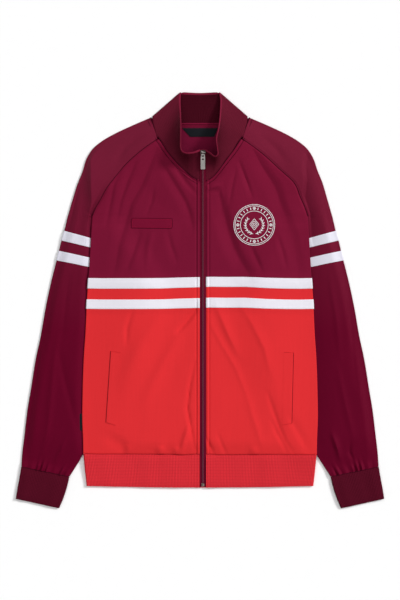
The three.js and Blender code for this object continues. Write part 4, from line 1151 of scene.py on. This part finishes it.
def build_cuff(side):
    name = "l" if side < 0 else "r"
    mirror = np.array((side, 1.0))
    rows = smooth_rows(CUFF, 5)
    fold, seam = rows[:, :2] * mirror, rows[:, 2:] * mirror
    edge = np.minimum(np.arange(len(rows)), 3) / 3
    end = np.minimum(np.arange(len(rows))[::-1], 2) / 2

    def top(plan, places, width):
        dip = 0.8 * (1 - edge)[:, None] + 1.2 * (1 - end)[:, None]
        wave = 0.5 * np.sin(places * 9 + 1) + 0.4 * np.sin(places * 17)
        return RIB_FULL + wave * ease(places * 6) * ease((1 - places) * 6) * edge[:, None] - dip

    sheet = tube_rows(fold, seam, seam, RIB, RIB_HOLLOW, np.zeros(len(rows)), top,
                      np.ones(len(rows)), 40, 20, round_seam=False)
    outer, inner = ribbed(*resample(*sheet, RIB_PITCH / max(2, RIB_SAMPLES)))
    outer[..., 2] = np.maximum(outer[..., 2], 0)
    wall_object(f"cloth_cuff_{name}", outer, inner, RIB_CUFF, "rib_maroon", f"cuff_{name}", sharp=60)
    # the seam allowance that lies inside the joint, and the thread in it, dark as painted shade along the seam
    start, end = mix(fold[0], seam[0], 0.03), mix(fold[0], seam[0], 0.97)
    up = unit(rows[0, :2] - rows[5, :2]) * mirror * 3.5
    corners = (start - up, end - up, start + up, end + up)
    laid(f"seam_allowance_cuff_{name}", corners, (5, 20), lambda x, y: 1.3 + 0 * x, 0.6, RIB_CUFF,
         "rib_maroon")
    line = resampled([mix(fold[0], seam[0], t) + up * 0.1 for t in (0.02, 0.5, 0.98)], 2.0)
    line = np.column_stack([line, np.full(len(line), RIB_FULL - 1.15)])
    cords(f"seam_cuff_{name}", [line], THREAD_DARK, "rib_maroon", radius=0.65)


HEM_ROWS = np.array([
    (HEM_SEAM_Y - SEAM, 221.8, 0), (-312, 220.2, 0.8), (-334, 218, 2), (HEM_LOW_Y, 215.8, 3.2)], float)


def build_hem():
    radius = RIB_FULL / 2
    table = smooth_rows(HEM_ROWS, 6)
    outers, inners = [], []
    for i, (y, half, sag) in enumerate(table):
        edge = min(i / 3, 1)
        end = min((len(table) - 1 - i) / 2, 1)
        dip = 0.9 * (1 - edge) + 1.3 * (1 - end)

        def front(side):
            x = np.linspace(ZIP_X + side * FRONT_EDGE, side * (half - radius), 60)
            yy = np.full_like(x, y)
            wave = 0.5 * np.sin(x / 21 + 1.3 * side) + 0.35 * np.sin(x / 9.5)
            fade = ease((half - np.abs(x)) / 20) * edge
            z = body_under(x, yy) + RIB_FULL + wave * fade - dip * ease((half - np.abs(x)) / 12)
            return np.column_stack([x, yy, z]), np.column_stack([x, yy, z - RIB])

        def fold(side):
            centre = side * (half - radius)
            base = body_under(np.array([centre]), np.array([y]))[0] + radius
            angles = np.radians(np.linspace(0, 180, 9)[1:-1])
            return tuple(np.column_stack([
                centre + side * r * np.sin(angles), np.full(len(angles), y), base + r * np.cos(angles),
            ]) for r in (radius, radius - RIB))

        x = np.linspace(radius - half, half - radius, 90)
        yy = np.full_like(x, y)
        z = body_under(x, yy)
        back = (np.column_stack([x, yy, z]), np.column_stack([x, yy, z + RIB]))
        parts = [front(-1), fold(-1), back, tuple(p[::-1] for p in fold(1)), tuple(p[::-1] for p in front(1))]
        outer, inner = (np.vstack([part[k] for part in parts]) for k in (0, 1))
        for points in (outer, inner):
            points[:, 1] -= sag * (1 - (points[:, 0] / half) ** 2)
        outers.append(outer)
        inners.append(inner)
    sheet = resample(np.stack(outers), np.stack(inners), RIB_PITCH / max(1.2, RIB_SAMPLES))
    outer, inner = ribbed(*sheet)
    outer[..., 2] = np.maximum(outer[..., 2], 0)
    wall_object("cloth_hem_rib", outer, inner, RIB_RED, "rib_red", "hem_rib", sharp=60)


# Zip

ZIP_HEM_TOP = 4.6
ZIP_LOW = -355
ZIP_TOP = 224
TAPE_SUNK = 0.9
CHAIN_LOW = -347.5
CHAIN_HALF = 1.9
CHAIN_TOP = 274
TOOTH_PITCH = 1.3
TOOTH = np.array((0.95, 0.4, 0.5))


def zip_path():
    """Upper face of the zip's tape in its own plane, as y and z, from the hem to the collar's top."""
    y = np.arange(ZIP_LOW, ZIP_TOP, 3.0)
    z = np.where(y < HEM_SEAM_Y, ZIP_HEM_TOP, front_top(np.full_like(y, ZIP_X), y, creased=False))
    kernel = np.ones(7) / 7
    z = np.convolve(np.pad(z, 3, mode="edge"), kernel, mode="valid") - TAPE_SUNK
    rows = [(a, b) for a, b in zip(y, z)]
    left, right = collar_sections(-1)[-1], collar_sections(1)[-1]
    for t in np.linspace(0, 1, 9)[1:]:
        ends = []
        for section in (left, right):
            base, top, curl = section[:3], section[3:6], section[6]
            plan = mix(t, math.sin(math.pi / 2 * t), curl)
            rise = mix(t, 1 - math.cos(math.pi / 2 * t), curl)
            ends.append((mix(base[1], top[1], plan), mix(base[2], top[2], rise)))
        middle = np.mean(ends, axis=0)
        rows.append((middle[0], middle[1] + WALL / 2))
    return resampled(np.array(rows), 3.0)


def part_of(path, low, high):
    y = np.concatenate([[low], path[(path[:, 0] > low) & (path[:, 0] < high), 0], [high]])
    return np.column_stack([y, np.interp(y, path[:, 0], path[:, 1])])


def band(path, across, heights, thickness):
    """Outer and inner points of a strip along the zip, with a height for each place across."""
    way = unit(np.gradient(path, axis=0))
    normal = np.column_stack([-way[:, 1], way[:, 0]])
    outer, inner = [], []
    for x, height in zip(across, heights):
        for stations, lift in ((outer, height), (inner, height - thickness)):
            plan = path + normal * lift
            stations.append(np.column_stack([np.full(len(path), ZIP_X + x), plan]))
    return np.stack(outer, 1), np.stack(inner, 1)


def boxes(name, places, ways, halves, material, slot):
    """Many small closed blocks, each turned to its own way in the plane of the zip."""
    corners = np.array([(i, j, k) for i in (-1, 1) for j in (-1, 1) for k in (-1, 1)])
    shape = corners * np.where(corners[:, 2:] > 0, (0.8, 0.7, 1), (1, 1, 1))
    quads = np.array([(0, 1, 3, 2), (4, 6, 7, 5), (0, 4, 5, 1), (2, 3, 7, 6), (0, 2, 6, 4), (1, 5, 7, 3)])
    vertices, faces = [], []
    for k, (place, way) in enumerate(zip(places, ways)):
        normal = np.array((0, -way[1], way[0]))
        along = np.array((0, way[0], way[1]))
        for x, y, z in shape * halves:
            vertices.append(place + np.array((x, 0, 0)) + along * y + normal * z)
        faces += [quad + 8 * k for quad in quads]
    return object_from(name, vertices, faces, material, slot)


def build_zip():
    path = zip_path()
    across = np.array([-5.7, -5.2, -3.4, -2.4, 0, 2.4, 3.4, 5.2, 5.7])
    tape = band(path, across, (-0.35, 0, 0, -0.15, -0.2, -0.15, 0, 0, -0.35), TAPE)
    wall_object("cloth_zip_tape", *tape, ZIP_CLOTH, "zip_cloth", "zip_tape")
    chain = part_of(path, CHAIN_LOW, CHAIN_TOP)
    core = band(chain, (-CHAIN_HALF, -1.5, -0.3, 0.3, 1.5, CHAIN_HALF), (0.35, 0.75, 0.9, 0.9, 0.75, 0.35), 0.4)
    wall_object("zip_coil_core", *core, ZIP_CLOTH, "zip_teeth", "zip_chain")
    even = resampled(chain, TOOTH_PITCH / 2)
    ways = unit(np.gradient(even, axis=0))
    normal = np.column_stack([-ways[:, 1], ways[:, 0]])
    centre = even + normal * 1.15
    side = np.where(np.arange(len(even)) % 2, 0.8, -0.8)
    places = np.column_stack([ZIP_X + side, centre])
    boxes("zip_coil_teeth", places, ways, TOOTH, TEETH, "zip_teeth")
    y = np.array([-353.2, -349.6, -351.4])
    low = np.interp(y, path[:, 0], path[:, 1])
    box_places = np.column_stack([ZIP_X + np.array([-1.45, -1.45, 1.45]), y, low + 1.9])
    ways = np.tile((1.0, 0.0), (3, 1))
    halves = np.array([(1.15, 1.5, 1.3), (1.15, 1.5, 1.3), (1.15, 3.2, 1.3)])
    for k in range(3):
        piece = boxes(f"zip_box_{k}", box_places[k:k + 1], ways[k:k + 1], halves[k], METAL_DARK, "metal")
        if k == 0:
            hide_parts("zip_box")


def polished(node, body):
    """The node's own shape with its edges rounded off, in place of the plain solid."""
    plain = bpy.data.objects[node]
    piece = bpy.data.objects.new(f"polished_{node}", plain.data.copy())
    piece.matrix_world = plain.matrix_world.copy()
    bpy.context.scene.collection.objects.link(piece)
    bevel = piece.modifiers.new("edge", "BEVEL")
    bevel.width = (0.28 if body == BODY else 0.55) * MM
    bevel.segments = 2
    bevel.limit_method = "ANGLE"
    bevel.angle_limit = math.radians(35)
    shown = piece.evaluated_get(bpy.context.evaluated_depsgraph_get())
    rounded = bpy.data.meshes.new_from_object(shown)
    piece.modifiers.clear()
    piece.data = rounded
    rounded.materials.clear()
    rounded.materials.append(METAL)
    rounded.materials.append(METAL_SHADE)
    # painted shade: faces that turn away from the top, and on the slider the wings beside its middle, take a darker
    # copy of the metal
    facing = max((face for face in rounded.polygons if face.normal.z > 0), key=lambda face: face.area).normal.copy()
    for face in rounded.polygons:
        place = piece.matrix_world @ face.center
        low = abs(place.x / MM - ZIP_X) > 1.7 and body == BODY
        face.material_index = int(low or face.normal.dot(facing) < 0.96)
    rounded.shade_smooth()
    rounded.set_sharp_from_angle(angle=math.radians(50))
    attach(piece, body)
    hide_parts(node)


# Labels, pockets and the badge

def laid(name, corners, counts, base, thickness, material, slot, node=None, edge=0.25):
    """A thin piece on a four-sided plan: low start, low end, high start, high end."""
    rows, across = counts
    u, v = np.meshgrid(np.linspace(0, 1, across), np.linspace(0, 1, rows))
    a, b, c, d = (np.array(corner, float) for corner in corners)
    plan = mix(mix(a, b, u[..., None]), mix(c, d, u[..., None]), v[..., None])
    rim = np.minimum(np.minimum(u, 1 - u) * (across - 1), np.minimum(v, 1 - v) * (rows - 1))
    low = base(plan[..., 0], plan[..., 1])
    high = low + thickness - edge * (rim < 0.5)
    return wall_object(name, np.dstack([plan, high]), np.dstack([plan, low]), material, slot, node, sharp=50)


def outline(corners, inset):
    """A closed line inside a four-sided plan."""
    a, b, c, d = (np.array(corner, float) for corner in corners)
    middle = (a + b + c + d) / 4
    line = []
    for point in (a, b, d, c, a):
        line.append(point - np.sign(point - middle) * inset)
    return np.array(line)


# Corners on the plan: low start, low end, high start, high end
CHEST_LABEL = ((-130, 137), (-53, 136), (-130, 155), (-53, 154))
WELTS = {
    "pocket_welt_l": ((-178, -232), (-159, -238), (-169, -97), (-150, -100)),
    "pocket_welt_r": ((174, -234), (156, -237), (177, -100), (159, -99)),
}
NECK_LABEL = ((-19, 310.5), (27, 310.5), (-34, 327), (34, 327))
NECK_TAPE = ((-58, 329.4), (58, 329.4), (-58, 336.6), (58, 336.6))


def build_labels():
    on_yoke = lambda x, y: front_top(x, y) + 0.12
    laid("label_chest", CHEST_LABEL, (9, 33), on_yoke, 0.7, LABEL_RED, "cloth_maroon", "chest_label")
    cords("edge_chest_label", [on_front(outline(CHEST_LABEL, -0.3), 0.15)], THREAD_MAROON, "cloth_maroon",
          radius=0.6)
    edge = outline(CHEST_LABEL, 1.5)
    stitches("stitch_chest_label", [on_front(edge, 0.8)], THREAD_BRIGHT, "cloth_maroon", length=1.8, gap=0.7,
             half=0.45)

    for name, corners in WELTS.items():
        a, b, c, d = (np.array(corner, float) for corner in corners)
        swell = lambda x, y: front_top(x, y) + 0.1
        rows, across = 40, 8
        u, v = np.meshgrid(np.linspace(0, 1, across), np.linspace(0, 1, rows))
        plan = mix(mix(a, b, u[..., None]), mix(c, d, u[..., None]), v[..., None])
        low = swell(plan[..., 0], plan[..., 1])
        high = low + 0.15 + 0.9 * np.clip(1 - u, 0, 1) ** 1.5 - 0.25 * (u < 0.01)
        wall_object(f"cloth_{name}", np.dstack([plan, high]), np.dstack([plan, low]), RED, "cloth_red", name)
        # painted shade: a dark thread along the pocket's opening stands for the shade in it
        opening_shade = np.array([a - (b - a) * 0.03, c - (d - c) * 0.03])
        cords(f"slit_{name}", [on_front(opening_shade, 0.35)], thread(f"thread_{name}", linear(112, 10, 24)),
              "cloth_red", radius=0.5)
        ends = [on_front([a, b], 1.0), on_front([c, d], 1.0)]
        stitches(f"stitch_{name}", ends, THREAD_RED, "cloth_red", length=1.8, gap=0.5)

    inside = WALL + SEAM
    bowed = lambda x, y: inside + 0.5 * np.cos(x / 18) ** 2 + 0 * y
    laid("label_neck", NECK_LABEL, (9, 25), bowed, 0.7, LABEL, "label_dark", "neck_label")
    lap = lambda x, y: inside + 1.6 * ease((y - 331) / 4)
    laid("cloth_neck_tape", NECK_TAPE, (9, 41), lap, 0.8, MAROON, "cloth_maroon", "neck_tape")
    line = np.array([(-57, 333.7), (57, 333.7)])
    line = resampled(line, 2.0)
    line = np.column_stack([line, lap(line[:, 0], line[:, 1]) + 0.85])
    stitches("stitch_neck_tape", [line], THREAD_DARK, "cloth_maroon", length=1.9, gap=0.6, half=0.4)

    right = -float(body_side_x(-232)) - SEAM
    z = float(body_under(np.array([right]), np.array([-232.0]))[0]) + WALL + HOLLOW / 2 - TAPE / 2
    corners = ((right - 7, -248), (right, -248), (right - 7, -216), (right, -216))
    fold = lambda x, y: z + 0 * x
    laid("label_side_tag", corners, (17, 6), fold, 0.9, LABEL, "label_dark", "side_tag")


BADGE = {"x": 103, "y": 142.5, "radius": 38.8}


def build_badge():
    """A plain round badge in satin stitch: rings, a ring of bars, two sprays of leaves and a diamond."""
    cx, cy, radius = BADGE["x"], BADGE["y"], BADGE["radius"]

    def around(r, start=0, end=360):
        angle = np.radians(np.linspace(start, end, max(8, int(abs(end - start) * r / 90))))
        return np.column_stack([cx + r * np.cos(angle), cy + r * np.sin(angle)])

    def spoke(r1, r2, degrees, turn=0):
        a, b = np.radians(degrees), np.radians(degrees + turn)
        return [(cx + r1 * math.cos(a), cy + r1 * math.sin(a)), (cx + r2 * math.cos(b), cy + r2 * math.sin(b))]

    rings = [around(radius), around(radius * 0.93), around(radius * 0.68)]
    bars = []
    for k in range(28):
        if k % 7:
            bars.append(spoke(radius * 0.745, radius * 0.865, 90 + 360 * k / 28))
    diamonds = []
    for degrees in (0, 90, 180, 270):
        middle = np.array(spoke(0, radius * 0.81, degrees)[1])
        for r in (3.2, 1.4):
            diamonds.append([middle + r * np.array(p) for p in ((1, 0), (0, 1), (-1, 0), (0, -1), (1, 0))])
    for r in (8.6, 5.6, 2.4):
        shape = [(cx + r * x, cy + 1 + 1.25 * r * y) for x, y in ((1, 0), (0, 1), (-1, 0), (0, -1), (1, 0))]
        diamonds.append(np.array(shape))
    leaves = []
    for side in (-1, 1):
        stem = np.array([(cx + side * 17 * math.sin(a), cy - 17 * math.cos(a)) for a in np.radians(range(8, 140, 8))])
        leaves.append(stem)
        for k in range(1, len(stem) - 1, 2):
            way = unit(stem[k + 1] - stem[k - 1])
            for turn in (-0.7, 0.7):
                c, s = math.cos(turn), math.sin(turn)
                tip = stem[k] + 4.4 * np.array((way[0] * c - way[1] * s, way[0] * s + way[1] * c))
                leaves.append([stem[k], tip])
    on = lambda lines: [on_front(line, 0.25) for line in lines]
    cords("badge_rings", on(rings), THREAD_WHITE, "stripe_white", radius=0.52, pitch=2.0, flat=0.8)
    cords("badge_bars", on(bars), THREAD_WHITE, "stripe_white", radius=0.75, pitch=2.0, flat=0.8)
    cords("badge_middle", on(diamonds + leaves), THREAD_WHITE, "stripe_white", radius=0.5, pitch=2.0, flat=0.8)


# Collar

def collar_sections(side):
    """Base and top points and curl of each section, from the middle of the back to the zip."""
    rows = [(side * bx, by - NECK_LAP, RIB / 2 + 0.6, side * tx, ty, RIB / 2, 0)
            for bx, by, tx, ty in COLLAR_BACK[::-1]]
    along = np.array((CREASE_BASE[0] - CREASE_TOP[0], CREASE_TOP[1] - CREASE_BASE[1]))
    along = along / np.linalg.norm(along)
    middle = (RIB + CREASE_GAP) / 2
    for degrees in (-90, -60, -30, 0, 30, 60, 90):
        angle = math.radians(degrees)
        out = middle * math.cos(angle)
        z = RIB + CREASE_GAP / 2 + middle * math.sin(angle)
        shift = np.array((along[1], along[0])) * out
        (bx, by), (tx, ty) = CREASE_BASE + shift, CREASE_TOP + shift
        rows.append((side * bx, by, z, side * tx, ty, z, 0))
    for bx, by, lx, ly, rx, ry, top_z, curl in COLLAR_FRONT:
        base_x = float(place_x(side, np.float64(bx)))
        at_zip = bx < 1
        top_x = base_x if at_zip else (-lx if side < 0 else rx)
        base_z = float(front_top(np.array([base_x]), np.array([by]), creased=False)[0]) - WALL / 2
        rows.append((base_x, by, base_z, top_x, ly if side < 0 else ry, top_z, curl))
    rows = np.array(rows)
    reach = unit(rows[:, 3:6] - rows[:, :3])
    rows[:, :3] += reach * (COLLAR_SEAM - 0.25)
    return rows


LIP_ROWS = 3


def build_collar():
    left = collar_sections(-1)[::-1]
    right = collar_sections(1)[1:]
    sections = np.vstack([left, right])
    fine = smooth_rows(sections, 8)
    t = np.array([0, 0.012, 0.03, *np.linspace(0.07, 0.93, 22), 0.965, 0.985, 1.0])
    quarter = math.pi / 2 * t
    curl = fine[:, 6:7]
    plan = mix(t, np.sin(quarter), curl)[..., None]
    rise = mix(t, 1 - np.cos(quarter), curl)
    base, top = fine[:, None, :3], fine[:, None, 3:6]
    middle = base + (top - base) * plan
    middle[..., 2] = mix(base[..., 2], top[..., 2], rise)
    middle[..., 2] += collar_waves(middle, t)
    along = np.gradient(middle, axis=0)
    up = np.gradient(middle, axis=1)
    normal = unit(np.cross(along, up))
    # the doubled knit is thinner at its sewn base and round along its folded top edge
    half = RIB / 2 * (0.55 + 0.45 * ease(t / 0.04)) * np.sqrt(np.clip(1 - np.clip((t - 0.955) / 0.047, 0, 1) ** 2, 0.04, 1))
    outer = middle + normal * half[None, :, None]
    inner = middle - normal * half[None, :, None]
    # rows of the sheet run up the collar, so that ribs can be raised across them
    outer, inner = (np.transpose(points, (1, 0, 2)) for points in (outer, inner))
    outer, inner = resample(outer, inner, RIB_PITCH * 0.9 / max(2, RIB_SAMPLES))
    outer, inner = both_ribbed(outer, inner)
    outer[..., 2] = np.maximum(outer[..., 2], 0)
    piece = wall_object("cloth_collar", outer, inner, RIB_DARK, "rib_maroon", "collar", sharp=70)
    # painted shade on the inner face, and a painted highlight on the folded top edge and the ends
    piece.data.materials.append(RIB_INSIDE_SHADED)
    piece.data.materials.append(RIB_LIP_HIGHLIT)
    rows, across = outer.shape[:2]
    faces = len(piece.data.polygons)
    quads = (rows - 1) * (across - 1)
    kind = np.zeros(faces, int)
    kind[:quads] = 1
    row = np.arange(quads) // (across - 1)
    lip = row >= rows - 1 - LIP_ROWS
    kind[:quads][lip] = 2
    kind[quads:2 * quads][lip] = 2
    kind[2 * quads:] = 2
    piece.data.polygons.foreach_set("material_index", kind)


def collar_waves(points, t):
    """Slight slack of the knit along the standing part."""
    x, y, z = points[..., 0], points[..., 1], points[..., 2]
    standing = ease((z - 8) / 20)
    return standing * 0.5 * np.sin(x / 7.0) * np.sin(math.pi * t)[None]


def both_ribbed(outer, inner):
    """Ribs on both faces of the doubled knit."""
    length = np.linalg.norm(np.diff(outer, axis=1), axis=2).mean(axis=0)
    place = np.concatenate([[0], np.cumsum(length)])
    wave = RIB_DEPTH * (np.cos(2 * math.pi * place / (RIB_PITCH * 0.9)) - 1) / 2
    normal = unit(outer - inner) * wave[None, :, None]
    return outer + normal, inner - normal


def build_all():
    for side in (-1, 1):
        build_front(side)
        build_sleeve(side)
        build_cuff(side)
    build_back()
    build_hem()
    build_collar()
    build_sewing()
    build_zip()
    build_labels()
    build_badge()
    polished("zip_slider", BODY)
    polished("zip_pull", "pull_tab")


def studio():
    """Pale floor, broad soft light and the camera straight above."""
    bpy.ops.mesh.primitive_plane_add(size=12, location=(0, 0, -0.0006))
    floor = bpy.context.object
    floor.name = "floor"
    material, nodes, links, shader = new_material("floor_paper")
    grain = object_noise(nodes, links, 60, 3)
    links.new(varied(nodes, links, grain, (0.97, 0.97, 0.972, 1), (0.99, 0.99, 0.99, 1)),
              shader.inputs["Base Color"])
    shader.inputs["Roughness"].default_value = 0.9
    floor.data.materials.append(material)

    world = bpy.data.worlds.new("studio")
    world.use_nodes = True
    world.node_tree.nodes["Background"].inputs["Color"].default_value = (1, 1, 1, 1)
    world.node_tree.nodes["Background"].inputs["Strength"].default_value = 0.22
    bpy.context.scene.world = world

    def softbox(name, place, degrees, strength):
        light = bpy.data.lights.new(name, "SUN")
        light.angle = math.radians(degrees)
        light.energy = strength
        lamp = bpy.data.objects.new(name, light)
        lamp.location = place
        lamp.rotation_euler = (-Vector(place)).to_track_quat("-Z", "Y").to_euler()
        bpy.context.scene.collection.objects.link(lamp)

    softbox("key", (1.7, 1.0, 1.32), 14, 2.3)
    softbox("top", (-0.2, 0.4, 3.6), 80, 1.25)

    camera = bpy.data.cameras.new("camera")
    camera.lens = 100
    camera.sensor_width = 36
    holder = bpy.data.objects.new("camera", camera)
    holder.location = (0, 0, 1.14 / 0.36 + 0.006)
    bpy.context.scene.collection.objects.link(holder)
    bpy.context.scene.camera = holder
    bpy.context.scene.view_settings.view_transform = "Standard"


build_all()
studio()

bpy.context.view_layer.update()
